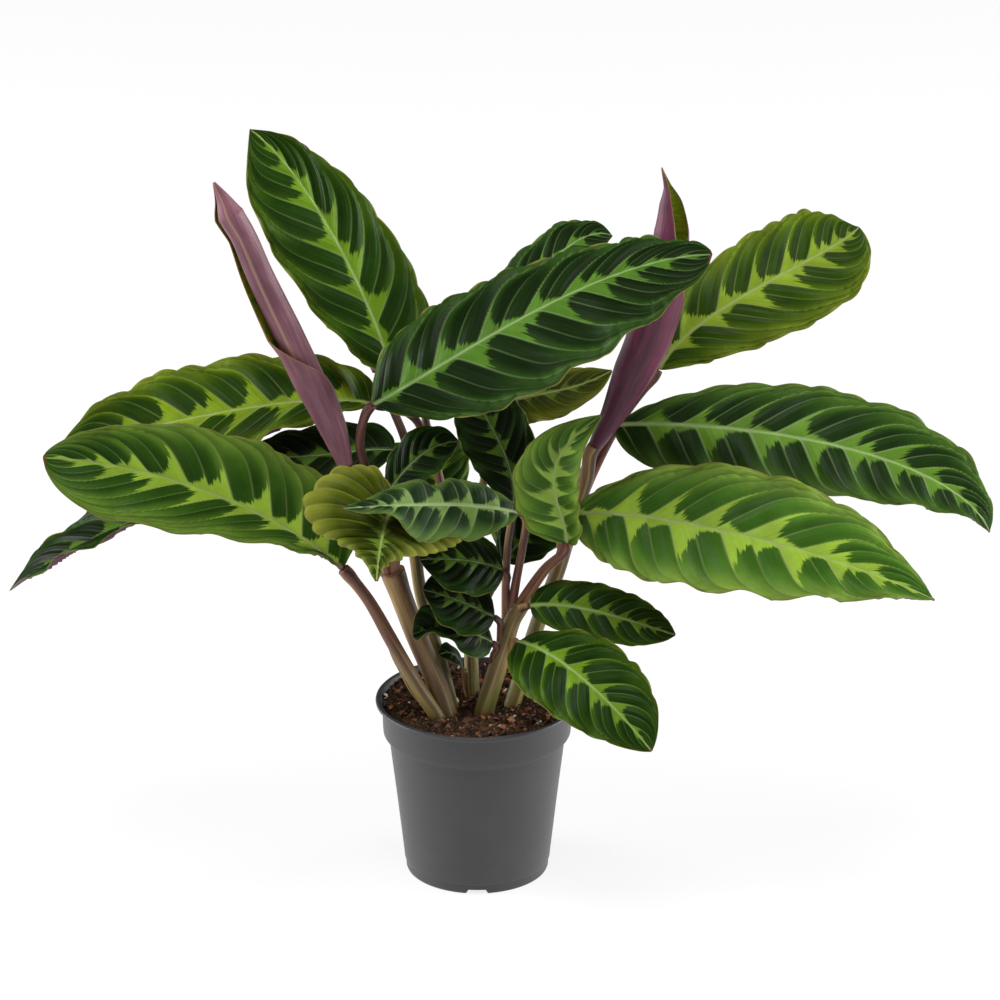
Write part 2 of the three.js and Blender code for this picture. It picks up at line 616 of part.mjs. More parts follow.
// A plug of peat inside the wall, its top mounded and cloddy by a seeded draw.
function soilSolid() {
  const random = seeded(SOIL_SEED);
  const rim = SOIL_LEVEL - SOIL_MOUND;
  const rings = [];
  const wall = [
    [FOOT_RADIUS - WALL - DRAIN_DEPTH - GAP, FLOOR + GAP],
    [innerRadius(FOOT_HEIGHT) - 2 * GAP, FOOT_HEIGHT + FOOT_STEP],
    [innerRadius(COLLAR_Z) - GAP, COLLAR_Z + WALL],
    [STEP_IN - GAP, COLLAR_Z + WALL + 2 * GAP],
    [THROAT - 2 * GAP, BRIM_Z - GAP],
    [THROAT + 2 * GAP, rim],
  ];
  const ringAt = (radius, height) =>
    Array.from({ length: SOIL_SIDES }, (_, j) => {
      const angle = (2 * Math.PI * j) / SOIL_SIDES;
      return new THREE.Vector3(radius * Math.cos(angle), radius * Math.sin(angle), height(angle));
    });
  for (const [radius, z] of wall) {
    rings.push(ringAt(radius, () => z));
  }
  const edge = wall[wall.length - 1][0];
  for (let i = 0; i < SOIL_RINGS; i++) {
    const inward = (i + 1) / (SOIL_RINGS + 0.5);
    const radius = edge * (1 - inward);
    const mound = rim + SOIL_MOUND * Math.sin((Math.PI / 2) * inward);
    rings.push(ringAt(radius, () => mound + SOIL_RELIEF * (random() - 0.5)));
  }
  return solidOf(loft(rings));
}

// ---------------------------------------------------------------- the plant in its pot
const plant = new THREE.Group();
const shoots = SHOOTS.map((shoot) => ({ name: shoot.name, solid: shootSolid(shoot) }));
let soil = soilSolid();
for (const shoot of SHOOTS) {
  soil = soil.subtract(shootSolid(shoot, GAP));
}

plant.add(part("pot", geometryFrom(potSolid()), "pot"));
plant.add(part("soil", geometryFrom(soil), "soil"));
for (const shoot of shoots) {
  plant.add(part(shoot.name, geometryFrom(shoot.solid), "sheath"));
}
for (const leaf of LEAVES) {
  plant.add(part(leaf.name, blade(leaf), leaf.colour));
}
for (const leaf of SPEARS) {
  plant.add(part(leaf.name, spear(leaf), "plum"));
}

export default plant;
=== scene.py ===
# Potted calathea in a grey nursery pot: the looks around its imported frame.
# Shapes are worked out in millimetres and put into meshes in metres. +X is the plant's
# right-hand side in the photograph and -Y its front.
import math

import bpy
import numpy as np
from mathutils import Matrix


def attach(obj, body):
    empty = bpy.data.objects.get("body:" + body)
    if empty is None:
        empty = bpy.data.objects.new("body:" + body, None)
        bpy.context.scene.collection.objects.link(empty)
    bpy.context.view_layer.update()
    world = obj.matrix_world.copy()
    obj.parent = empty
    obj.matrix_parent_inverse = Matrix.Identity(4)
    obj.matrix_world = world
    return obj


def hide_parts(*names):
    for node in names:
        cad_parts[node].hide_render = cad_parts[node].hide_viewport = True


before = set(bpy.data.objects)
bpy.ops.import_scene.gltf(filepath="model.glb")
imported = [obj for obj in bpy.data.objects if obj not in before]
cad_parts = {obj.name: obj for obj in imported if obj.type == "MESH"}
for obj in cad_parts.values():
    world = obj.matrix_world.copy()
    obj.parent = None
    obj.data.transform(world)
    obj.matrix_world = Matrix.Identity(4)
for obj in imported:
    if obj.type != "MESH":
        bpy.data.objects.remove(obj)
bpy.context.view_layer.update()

MM = 0.001
TURN = 2 * math.pi


# ---------------------------------------------------------------- numbers
def unit(a):
    """Vectors at length one."""
    return a / np.maximum(np.linalg.norm(a, axis=-1, keepdims=True), 1e-12)


def lerp(a, b, t):
    """From a at t = 0 evenly to b at t = 1."""
    return a + (b - a) * t


def smooth(low, high, x):
    """0 below low, 1 above high and an even S between them."""
    k = np.clip((x - low) / (high - low), 0, 1)
    return k * k * (3 - 2 * k)


def linear(code):
    """An sRGB hex colour as linear RGB and alpha 1."""
    c = np.array([int(code[i:i + 2], 16) for i in (1, 3, 5)]) / 255
    c = np.where(c <= 0.04045, c / 12.92, ((c + 0.055) / 1.055) ** 2.4)
    return (*c.tolist(), 1.0)


def bumpy(x, y, size, seed):
    """A random relief between about -1 and 1: the sum of 24 sine waves in random directions,
    the longest of them about size long."""
    random = np.random.default_rng(seed)
    total = np.zeros(np.broadcast(x, y).shape)
    for _ in range(24):
        heading, phase = random.uniform(0, TURN, 2)
        k = TURN / size * random.uniform(0.7, 3.2)
        total += np.sin(k * (x * math.cos(heading) + y * math.sin(heading)) + phase)
    return total / 6


# ---------------------------------------------------------------- meshes
def quads(rows, cols, wrap=False, first=0):
    """The faces between neighbouring rows and columns of a grid of points; wrap joins the
    last column to the first."""
    i, j = np.mgrid[0:rows - 1, 0:cols - (0 if wrap else 1)]
    after = (j + 1) % cols
    a, b = i * cols + j, i * cols + after
    return first + np.stack([a, b, b + cols, a + cols], -1).reshape(-1, 4)


def piece(name, points, faces, materials, which=None, maps=None, values=None, sharp=False):
    """One mesh object. points in mm; faces an array of quads or a list of such arrays and of
    triangles; which gives each face its material; maps are UV maps given per face corner;
    values are numbers given per point."""
    faces = [np.asarray(f) for f in (faces if isinstance(faces, list) else [faces])]
    corners = np.concatenate([f.ravel() for f in faces])
    sizes = np.concatenate([np.full(len(f), f.shape[1]) for f in faces])
    mesh = bpy.data.meshes.new(name)
    mesh.vertices.add(len(points))
    mesh.vertices.foreach_set("co", (np.asarray(points) * MM).astype(np.float32).ravel())
    mesh.loops.add(len(corners))
    mesh.loops.foreach_set("vertex_index", corners.astype(np.int32))
    mesh.polygons.add(len(sizes))
    mesh.polygons.foreach_set("loop_start", (np.cumsum(sizes) - sizes).astype(np.int32))
    mesh.polygons.foreach_set("use_smooth", np.full(len(sizes), not sharp))
    for material in materials:
        mesh.materials.append(material)
    if which is not None:
        mesh.polygons.foreach_set("material_index", np.asarray(which, np.int32))
    for key, uv in (maps or {}).items():
        layer = mesh.uv_layers.new(name=key)
        layer.data.foreach_set("uv", np.asarray(uv, np.float32).ravel())
    for key, value in (values or {}).items():
        held = mesh.attributes.new(key, "FLOAT", "POINT")
        held.data.foreach_set("value", np.asarray(value, np.float32).ravel())
    mesh.update(calc_edges=True)
    mesh.validate()
    made = bpy.data.objects.new(name, mesh)
    bpy.context.scene.collection.objects.link(made)
    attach(made, "root")
    return made


def leafy(grid, thick):
    """A sheet with a thickness: the grid of points moved half of thick to each side along its
    own normal, with a rim round it. Returns points, faces and each face's side: 0 for the side
    that the normal (across times along) points to, 1 for the other and 2 for the rim."""
    rows, cols = grid.shape[:2]
    normal = unit(np.cross(np.gradient(grid, axis=1), np.gradient(grid, axis=0)))
    half = 0.5 * np.broadcast_to(thick, (rows, cols))[..., None]
    points = np.concatenate([grid + normal * half, grid - normal * half]).reshape(-1, 3)
    over = quads(rows, cols)
    under = over[:, [0, 3, 2, 1]] + rows * cols  # turned round, with the same diagonal
    count = rows * cols
    i, j = np.arange(rows - 1) * cols, np.arange(cols - 1)
    last, end = cols - 1, (rows - 1) * cols
    rim = np.concatenate([
        np.stack([i, i + cols, i + cols + count, i + count], -1),
        np.stack([i + last, i + last + count, i + last + cols + count, i + last + cols], -1),
        np.stack([j, j + count, j + 1 + count, j + 1], -1),
        np.stack([end + j, end + j + 1, end + j + 1 + count, end + j + count], -1),
    ])
    faces = np.concatenate([over, under, rim])
    side = np.concatenate([np.zeros(len(over)), np.ones(len(under)), np.full(len(rim), 2)])
    return points, faces, side.astype(int)


def curve_points(points, t):
    """A smooth line through the points: centripetal Catmull-Rom, with t from 0 to 1 in equal
    shares for each stretch between two points. Returns places and directions."""
    p = np.asarray(points, float)
    p = np.concatenate([[2 * p[0] - p[1]], p, [2 * p[-1] - p[-2]]])
    stretches = len(p) - 3
    place = np.clip(t, 0, 1) * stretches
    k = np.minimum(place.astype(int), stretches - 1)
    w = (place - k)[:, None]
    p0, p1, p2, p3 = (p[k + n] for n in range(4))
    d0, d1, d2 = (np.sqrt(np.linalg.norm(b - a, axis=1, keepdims=True))
                  for a, b in ((p0, p1), (p1, p2), (p2, p3)))
    m1 = ((p1 - p0) / d0 - (p2 - p0) / (d0 + d1) + (p2 - p1) / d1) * d1
    m2 = ((p2 - p1) / d1 - (p3 - p1) / (d1 + d2) + (p3 - p2) / d2) * d1
    c2 = 3 * (p2 - p1) - 2 * m1 - m2
    c3 = 2 * (p1 - p2) + m1 + m2
    return p1 + m1 * w + c2 * w ** 2 + c3 * w ** 3, unit(m1 + 2 * c2 * w + 3 * c3 * w ** 2)


def even(points, step):
    """Places and directions along the smooth line at about equal steps, and the run so far."""
    fine = np.linspace(0, 1, 60 * len(points))
    lengths = np.linalg.norm(np.diff(curve_points(points, fine)[0], axis=0), axis=1)
    run = np.concatenate([[0], np.cumsum(lengths)])
    count = max(6, round(run[-1] / step))
    at = np.linspace(0, run[-1], count + 1)
    places, along = curve_points(points, np.interp(at, run, fine))
    return places, along, at


def ring_axes(along):
    """Two directions square to each direction of a path that never runs straight back: to
    its right, seen from the front, and away from the front."""
    side = unit(np.stack([along[:, 2], np.zeros(len(along)), -along[:, 0]], -1))
    return side, -np.cross(side, along)


# ---------------------------------------------------------------- materials
def add(tree, kind, inputs=None, out=0, **settings):
    """Adds one shader node with its settings and its inputs, each a value or another node's
    output, and returns its output."""
    made = tree.nodes.new("ShaderNode" + kind)
    for key, value in settings.items():
        setattr(made, key, value)
    for key, value in (inputs or {}).items():
        if isinstance(value, bpy.types.NodeSocket):
            tree.links.new(value, made.inputs[key])
        else:
            made.inputs[key].default_value = value
    return made.outputs[out]


def surface(name, roughness, ior, colour, bump=None, depth=0.0001, **sockets):
    """A material of one Principled shader; colour and bump are filled in by the caller."""
    material = bpy.data.materials.new(name)
    material.use_nodes = True
    tree = material.node_tree
    shader = tree.nodes["Principled BSDF"]
    shader.inputs["Roughness"].default_value = roughness
    shader.inputs["IOR"].default_value = ior
    for key, value in sockets.items():
        shader.inputs[key.replace("_", " ")].default_value = value
    tree.links.new(colour(tree), shader.inputs["Base Color"])
    if bump:
        normal = add(tree, "Bump", {"Height": bump(tree), "Distance": depth, "Strength": 1.0})
        tree.links.new(normal, shader.inputs["Normal"])
    return material


def strip_colour(green, flame):
    """Nearly half of the way from the blade's green to its flames' colour, as a hex code."""
    pairs = [(int(green[i:i + 2], 16), int(flame[i:i + 2], 16)) for i in (1, 3, 5)]
    mixed = [round(lerp(a, b, 0.45)) for a, b in pairs]
    return "#%02x%02x%02x" % tuple(mixed)


def blade_upper(name, dark, green, margin, flame, rib, fade, soft):
    """Upper face of a living calathea blade: a smooth waxy skin, satin with a grey bloom of
    light on it. Along each midrib run light flames: each has a smooth edge along a lateral
    vein on the side of the leaf's base and a feathered edge on the side of its tip. fade says
    between which shares of the half width the dark lobes turn green, and soft how wide the
    flames' edges run out.
    The map "veins" holds the place in flames along the lateral veins, and 0 at the midrib
    to 1 at the margin; the map "blade" holds 0 at the base to 1 at the tip, and the distance
    from the midrib in decimetres. The value "reach" is how far the flames go out.
    Clouds of about 18 mm; in relief a grain of 1 mm and eight fine veins to a flame."""
    def paint(tree):
        veins = add(tree, "SeparateXYZ", {0: add(tree, "UVMap", uv_map="veins")})
        flames, out = veins, veins.node.outputs["Y"]
        blade = add(tree, "SeparateXYZ", {0: add(tree, "UVMap", uv_map="blade")})
        along, aside = blade, blade.node.outputs["Y"]
        reach = add(tree, "Attribute", out="Fac", attribute_name="reach")
        # the flames' outline: highest at a vein, falling in a hollow curve towards the next; a
        # lower peak stands at the thinner vein between them
        peaks = []
        for shift, low, high in ((0.0, 0.8, 1.25), (0.5, 0.08, 0.5)):
            moved = add(tree, "Math", {0: flames, 1: shift}, operation="ADD")
            number = add(tree, "Math", {0: moved}, operation="FLOOR")
            draw = add(tree, "TexWhiteNoise", {"W": number}, out=1, noise_dimensions="1D")
            draw = add(tree, "SeparateColor", {0: draw})
            fall = add(tree, "MapRange", {0: draw, 3: 1.7, 4: 4.0})
            left = add(tree, "Math",
                       {0: 1.0, 1: add(tree, "Math", {0: moved}, operation="FRACT")},
                       operation="SUBTRACT")
            peak = add(tree, "Math", {0: left, 1: fall}, operation="POWER")
            size = add(tree, "MapRange", {0: draw.node.outputs["Green"], 3: low, 4: high})
            peaks.append(add(tree, "Math", {0: peak, 1: size}, operation="MULTIPLY"))
        edge = add(tree, "Math", {0: peaks[0], 1: peaks[1]}, operation="MAXIMUM")
        edge = add(tree, "Math", {0: edge, 1: reach}, operation="MULTIPLY")
        teeth = add(tree, "TexNoise",
                    {"W": flames, "Scale": 14.0, "Detail": 3.0, "Roughness": 0.65},
                    noise_dimensions="1D")
        teeth = add(tree, "MapRange", {0: teeth, 1: 0.3, 2: 0.7, 3: -1.0}, clamp=False)
        depth = add(tree, "Math", {0: edge, 1: 0.2, 2: 0.015}, operation="MULTIPLY_ADD")
        edge = add(tree, "Math", {0: teeth, 1: depth, 2: edge}, operation="MULTIPLY_ADD")
        edge = add(tree, "Math", {0: edge, 1: 0.02}, operation="ADD")
        inside = add(tree, "Math", {0: edge, 1: out}, operation="SUBTRACT")
        lit = add(tree, "MapRange", {0: inside, 1: -soft, 2: soft},
                  interpolation_type="SMOOTHSTEP")
        # the dark lobe between two flames: darkest beside them, rounded off to the margin
        middle = add(tree, "Math", {0: add(tree, "Math", {0: flames}, operation="FRACT"),
                                    1: 0.45}, operation="SUBTRACT")
        middle = add(tree, "Math", {0: middle, 1: middle}, operation="MULTIPLY")
        lobe = add(tree, "Math", {0: middle, 1: 1.2, 2: out}, operation="MULTIPLY_ADD")
        deep = add(tree, "MapRange", {0: lobe, 1: fade[0], 2: fade[1], 3: 1.0, 4: 0.0},
                   interpolation_type="SMOOTHSTEP")
        streak = add(tree, "CombineXYZ",
                     {0: add(tree, "Math", {0: flames, 1: 9.0}, operation="MULTIPLY"), 1: out})
        streak = add(tree, "TexNoise", {"Vector": streak, "Scale": 2.2, "Detail": 3.0},
                     noise_dimensions="2D")
        ground = add(tree, "Mix", {0: add(tree, "MapRange", {0: out, 1: 0.6}), 6: linear(green),
                                   7: linear(margin)}, out=2, data_type="RGBA")
        ground = add(tree, "Mix", {0: deep, 6: ground, 7: linear(dark)}, out=2, data_type="RGBA")
        streak = add(tree, "MapRange", {0: streak, 1: 0.45, 2: 0.75, 4: 0.15})
        ground = add(tree, "Mix", {0: streak, 6: ground, 7: linear(green)}, out=2,
                     data_type="RGBA")
        # beyond its flame each strong vein is followed by a soft light strip to the margin
        beside = add(tree, "Math", {0: flames}, operation="FRACT")
        strip = add(tree, "MapRange", {0: beside, 2: 0.32, 3: 0.42, 4: 0.0},
                    interpolation_type="SMOOTHSTEP")
        thin = add(tree, "MapRange", {0: out, 1: 0.3, 2: 0.95, 3: 1.0, 4: 0.45})
        strip = add(tree, "Math", {0: strip, 1: thin}, operation="MULTIPLY")
        ground = add(tree, "Mix", {0: strip, 6: ground, 7: linear(strip_colour(green, flame))},
                     out=2, data_type="RGBA")
        ground = add(tree, "Mix", {0: lit, 6: ground, 7: linear(flame)}, out=2, data_type="RGBA")
        # painted light and shade of the pleats: each panel between two veins is painted lighter
        # where it rises from its vein and darker where it falls to the next, fading in from the
        # midrib; each panel is also a little lighter or darker than its neighbours
        twice = add(tree, "Math", {0: flames, 1: 2.0}, operation="MULTIPLY")
        panel = add(tree, "TexWhiteNoise",
                    {"W": add(tree, "Math", {0: twice}, operation="FLOOR")},
                    noise_dimensions="1D")
        panel = add(tree, "MapRange", {0: panel, 3: 0.88, 4: 1.16})
        # painted highlight where a panel rises from its vein and painted shade where it falls
        painted_pleat_light = add(tree, "MapRange", {0: add(tree, "Math", {0: twice}, operation="FRACT"), 1: 0.1,
                                      2: 0.95, 3: 1.16, 4: 0.78}, interpolation_type="SMOOTHSTEP")
        raised = add(tree, "MapRange", {0: out, 1: 0.08, 2: 0.4})
        painted_pleat_light = add(tree, "Mix", {0: raised, 2: 1.0, 3: painted_pleat_light})
        panel = add(tree, "Math", {0: panel, 1: painted_pleat_light}, operation="MULTIPLY")
        # clouds of lighter and darker tone over the blade: partly random tone, partly a painted bloom
        # of sheen
        cloud = add(tree, "TexNoise", {"Vector": add(tree, "TexCoord", out="Object"),
                                       "Scale": 55.0, "Detail": 5.0, "Roughness": 0.6})
        cloud = add(tree, "MapRange", {0: cloud, 1: 0.3, 2: 0.7, 3: 0.84, 4: 1.16})
        panel = add(tree, "Math", {0: panel, 1: cloud}, operation="MULTIPLY")
        ground = add(tree, "HueSaturation", {"Value": panel, "Color": ground})
        # thin pale lateral veins, two to a flame, the one at its edge the stronger
        fading = add(tree, "MapRange", {0: out, 1: 0.25, 3: 1.0, 4: 0.4})
        for shift, strength, width in ((0.0, 0.5, 0.05), (0.5, 0.26, 0.04)):
            near = add(tree, "Math", {0: flames, 1: shift}, operation="ADD")
            near = add(tree, "Math",
                       {0: near, 1: add(tree, "Math", {0: near}, operation="ROUND")},
                       operation="SUBTRACT")
            near = add(tree, "Math", {0: near}, operation="ABSOLUTE")
            line = add(tree, "MapRange", {0: near, 1: 0.2 * width, 2: width, 3: strength, 4: 0.0},
                       interpolation_type="SMOOTHSTEP")
            line = add(tree, "Math", {0: line, 1: fading}, operation="MULTIPLY")
            ground = add(tree, "Mix", {0: line, 6: ground, 7: linear(rib)}, out=2,
                         data_type="RGBA")
        # the broad pale midrib with a thin bright line down its middle
        away = add(tree, "Math", {0: aside}, operation="ABSOLUTE")
        width = add(tree, "MapRange", {0: along, 3: 0.018, 4: 0.007})
        stripe = add(tree, "Math", {0: away, 1: width}, operation="DIVIDE")
        band = add(tree, "MapRange", {0: stripe, 1: 0.55, 2: 1.2, 3: 0.8, 4: 0.0},
                   interpolation_type="SMOOTHSTEP")
        ground = add(tree, "Mix", {0: band, 6: ground, 7: linear(rib)}, out=2, data_type="RGBA")
        centre = add(tree, "MapRange", {0: stripe, 1: 0.1, 2: 0.3, 3: 0.6, 4: 0.0})
        ground = add(tree, "Mix", {0: centre, 6: ground, 7: linear("#b4c489")}, out=2,
                     data_type="RGBA")
        ground = add(tree, "Mix", {0: add(tree, "MapRange", {0: out, 1: 0.982, 2: 0.99}),
                                   6: ground, 7: linear("#83803f")}, out=2, data_type="RGBA")
        tip = add(tree, "MapRange", {0: along, 1: 0.988, 2: 0.998})
        return add(tree, "Mix", {0: tip, 6: ground, 7: linear("#6b4a2c")}, out=2,
                   data_type="RGBA")

    def relief(tree):
        veins = add(tree, "SeparateXYZ", {0: add(tree, "UVMap", uv_map="veins")})
        fine = add(tree, "Math", {0: veins, 1: 16.0}, operation="MULTIPLY")
        fine = add(tree, "Math", {0: fine, 1: 1.0}, operation="PINGPONG")
        grain = add(tree, "TexNoise", {"Vector": add(tree, "TexCoord", out="Object"),
                                       "Scale": 900.0, "Detail": 2.0})
        return add(tree, "Math", {0: grain, 1: 0.6, 2: fine}, operation="MULTIPLY_ADD")

    return surface(name, 0.38, 1.45, paint, relief, 0.00012, Specular_IOR_Level=0.09)


def blade_under(name, colour, rib):
    """Underside of the blade: matt plum in clouds of about 17 mm, paler along the keel and
    the lateral veins."""
    def paint(tree):
        veins = add(tree, "SeparateXYZ", {0: add(tree, "UVMap", uv_map="veins")})
        blade = add(tree, "SeparateXYZ", {0: add(tree, "UVMap", uv_map="blade")})
        twice = add(tree, "Math", {0: veins, 1: 2.0}, operation="MULTIPLY")
        near = add(tree, "Math", {0: twice, 1: add(tree, "Math", {0: twice}, operation="ROUND")},
                   operation="SUBTRACT")
        near = add(tree, "Math", {0: near}, operation="ABSOLUTE")
        line = add(tree, "MapRange", {0: near, 1: 0.01, 2: 0.07, 3: 0.35, 4: 0.0},
                   interpolation_type="SMOOTHSTEP")
        away = add(tree, "Math", {0: blade.node.outputs["Y"]}, operation="ABSOLUTE")
        keel = add(tree, "MapRange", {0: away, 1: 0.006, 2: 0.02, 3: 0.7, 4: 0.0},
                   interpolation_type="SMOOTHSTEP")
        line = add(tree, "Math", {0: line, 1: keel}, operation="MAXIMUM")
        cloud = add(tree, "TexNoise", {"Vector": add(tree, "TexCoord", out="Object"),
                                       "Scale": 60.0, "Detail": 4.0})
        ground = add(tree, "Mix", {0: add(tree, "MapRange", {0: cloud, 1: 0.35, 2: 0.7}),
                                   6: linear(colour), 7: linear("#5d3346")}, out=2,
                     data_type="RGBA")
        return add(tree, "Mix", {0: line, 6: ground, 7: linear(rib)}, out=2, data_type="RGBA")
    return surface(name, 0.55, 1.45, paint)


def stem_skin():
    """Skin of sheaths and petioles: smooth, satin, faintly ribbed lengthwise. The value
    "ripe" runs from the olive foot (0) over tan and rosy brown to the wine-red neck (1).
    Clouds of about 22 mm, streaks 30 mm long, and 90 ribs round the stem in relief."""
    def paint(tree):
        ripe = add(tree, "Attribute", out="Fac", attribute_name="ripe")
        skin = add(tree, "UVMap", uv_map="skin")
        stretched = add(tree, "Mapping", {"Vector": skin, "Scale": (38.0, 1.3, 1.0)})
        grain = add(tree, "TexNoise", {"Vector": stretched, "Scale": 1.0, "Detail": 3.0},
                    noise_dimensions="2D")
        cloud = add(tree, "TexNoise", {"Vector": add(tree, "TexCoord", out="Object"),
                                       "Scale": 45.0, "Detail": 3.0})
        shift = add(tree, "MapRange", {0: cloud, 1: 0.3, 2: 0.7, 3: -0.14, 4: 0.14}, clamp=False)
        ripe = add(tree, "Math", {0: ripe, 1: shift}, operation="ADD")
        ground = add(tree, "Mix", {0: add(tree, "MapRange", {0: ripe, 1: -0.6, 2: 0.0}),
                                   6: linear("#33521c"), 7: linear("#68782a")}, out=2,
                     data_type="RGBA")
        ground = add(tree, "Mix", {0: add(tree, "MapRange", {0: ripe, 2: 0.35}), 6: ground,
                                   7: linear("#80653a")}, out=2, data_type="RGBA")
        ground = add(tree, "Mix", {0: add(tree, "MapRange", {0: ripe, 1: 0.35, 2: 0.65}),
                                   6: ground, 7: linear("#82503e")}, out=2, data_type="RGBA")
        ground = add(tree, "Mix", {0: add(tree, "MapRange", {0: ripe, 1: 0.65}), 6: ground,
                                   7: linear("#55242d")}, out=2, data_type="RGBA")
        # painted light and shade: broad bands along each stem, laid round it by noise; the pale
        # ones are partly the skin's tan and partly painted highlight, the dark ones painted shade
        stretched = add(tree, "Mapping", {"Vector": skin, "Scale": (3.0, 0.3, 1.0)})
        light_and_shade_bands = add(tree, "TexNoise", {"Vector": stretched, "Scale": 1.0, "Detail": 2.0},
                    noise_dimensions="2D")
        # pale bands: partly the skin's tan, partly painted highlight
        ground = add(tree, "Mix", {0: add(tree, "MapRange", {0: light_and_shade_bands, 1: 0.5, 2: 0.72, 4: 0.8}),
                                   6: ground, 7: linear("#ba9a60")}, out=2, data_type="RGBA")
        # dark bands: painted shade
        ground = add(tree, "Mix", {0: add(tree, "MapRange", {0: light_and_shade_bands, 1: 0.5, 2: 0.3, 4: 0.9}),
                                   6: ground, 7: linear("#2c1c08")}, out=2, data_type="RGBA")
        dim = add(tree, "MapRange", {0: grain, 1: 0.45, 2: 0.8, 4: 0.4})
        return add(tree, "Mix", {0: dim, 6: ground, 7: linear("#40301a")}, out=2,
                   data_type="RGBA")

    def relief(tree):
        stretched = add(tree, "Mapping", {"Vector": add(tree, "UVMap", uv_map="skin"),
                                          "Scale": (90.0, 2.0, 1.0)})
        return add(tree, "TexNoise", {"Vector": stretched, "Scale": 1.0, "Detail": 2.0},
                   noise_dimensions="2D")
    return surface("calathea_stem_skin", 0.42, 1.45, paint, relief, 0.0002)


def pot_plastic():
    """Injection-moulded polypropylene, recycled dark grey: a fine dull grain, a few pale
    scuffs about 22 mm long and 1 mm high, and a little dust in clouds of 36 mm. The grain is
    drawn at 0.6 mm, coarser than the real one, so that it shows."""
    def paint(tree):
        place = add(tree, "TexCoord", out="Object")
        dust = add(tree, "TexNoise", {"Vector": place, "Scale": 28.0, "Detail": 5.0,
                                      "Roughness": 0.6})
        dust = add(tree, "MapRange", {0: dust, 1: 0.5, 2: 0.8, 4: 0.22})
        ground = add(tree, "Mix", {0: dust, 6: linear("#3b3b3d"), 7: linear("#545455")}, out=2,
                     data_type="RGBA")
        turn = add(tree, "Mapping", {"Vector": place, "Scale": (1.0, 1.0, 26.0)})
        scuff = add(tree, "TexNoise", {"Vector": turn, "Scale": 45.0, "Detail": 3.0,
                                       "Roughness": 0.7})
        scuff = add(tree, "MapRange", {0: scuff, 1: 0.66, 2: 0.74, 4: 0.12})
        return add(tree, "Mix", {0: scuff, 6: ground, 7: linear("#7c7c7c")}, out=2,
                   data_type="RGBA")

    def relief(tree):
        return add(tree, "TexNoise", {"Vector": add(tree, "TexCoord", out="Object"),
                                      "Scale": 1800.0, "Detail": 2.0})
    return surface("moulded_polypropylene", 0.46, 1.49, paint, relief, 0.00006)


def peat():
    """Damp peat: dark brown crumbs of about 2.4 mm, each lighter or darker at random, in blacker clouds
    of about 5.6 mm; no shine.
    """
    def paint(tree):
        place = add(tree, "TexCoord", out="Object")
        crumbs = add(tree, "TexVoronoi", {"Vector": place, "Scale": 420.0}, out=1)
        crumbs = add(tree, "SeparateColor", {0: crumbs})
        cloud = add(tree, "TexNoise", {"Vector": place, "Scale": 180.0, "Detail": 5.0})
        ground = add(tree, "Mix", {0: crumbs, 6: linear("#130b04"), 7: linear("#5a4020")}, out=2,
                     data_type="RGBA")
        return add(tree, "Mix", {0: add(tree, "MapRange", {0: cloud, 1: 0.45, 2: 0.7}), 6: ground,
                                 7: linear("#120a07")}, out=2, data_type="RGBA")

    def relief(tree):
        return add(tree, "TexNoise", {"Vector": add(tree, "TexCoord", out="Object"),
                                      "Scale": 500.0, "Detail": 6.0, "Roughness": 0.7})
    return surface("damp_peat", 0.9, 1.4, paint, relief, 0.0012)


def coco_chips():
    """Chips of coco husk and bark in the peat: the value "tint" runs from near black (0) over
    red-brown to dry straw (1). Dark flecks of about 1.4 mm."""
    def paint(tree):
        tint = add(tree, "Attribute", out="Fac", attribute_name="tint")
        ground = add(tree, "Mix", {0: add(tree, "MapRange", {0: tint, 2: 0.5}),
                                   6: linear("#1d100a"), 7: linear("#6e4126")}, out=2,
                     data_type="RGBA")
        ground = add(tree, "Mix", {0: add(tree, "MapRange", {0: tint, 1: 0.5, 2: 0.85}),
                                   6: ground, 7: linear("#a87446")}, out=2, data_type="RGBA")
        ground = add(tree, "Mix", {0: add(tree, "MapRange", {0: tint, 1: 0.85}), 6: ground,
                                   7: linear("#e8dac6")}, out=2, data_type="RGBA")
        fleck = add(tree, "TexNoise", {"Vector": add(tree, "TexCoord", out="Object"),
                                       "Scale": 700.0, "Detail": 3.0})
        return add(tree, "Mix", {0: add(tree, "MapRange", {0: fleck, 1: 0.5, 2: 0.8, 4: 0.5}),
                                 6: ground, 7: linear("#1a100b")}, out=2, data_type="RGBA")
    return surface("coco_and_bark_chips", 0.75, 1.45, paint)


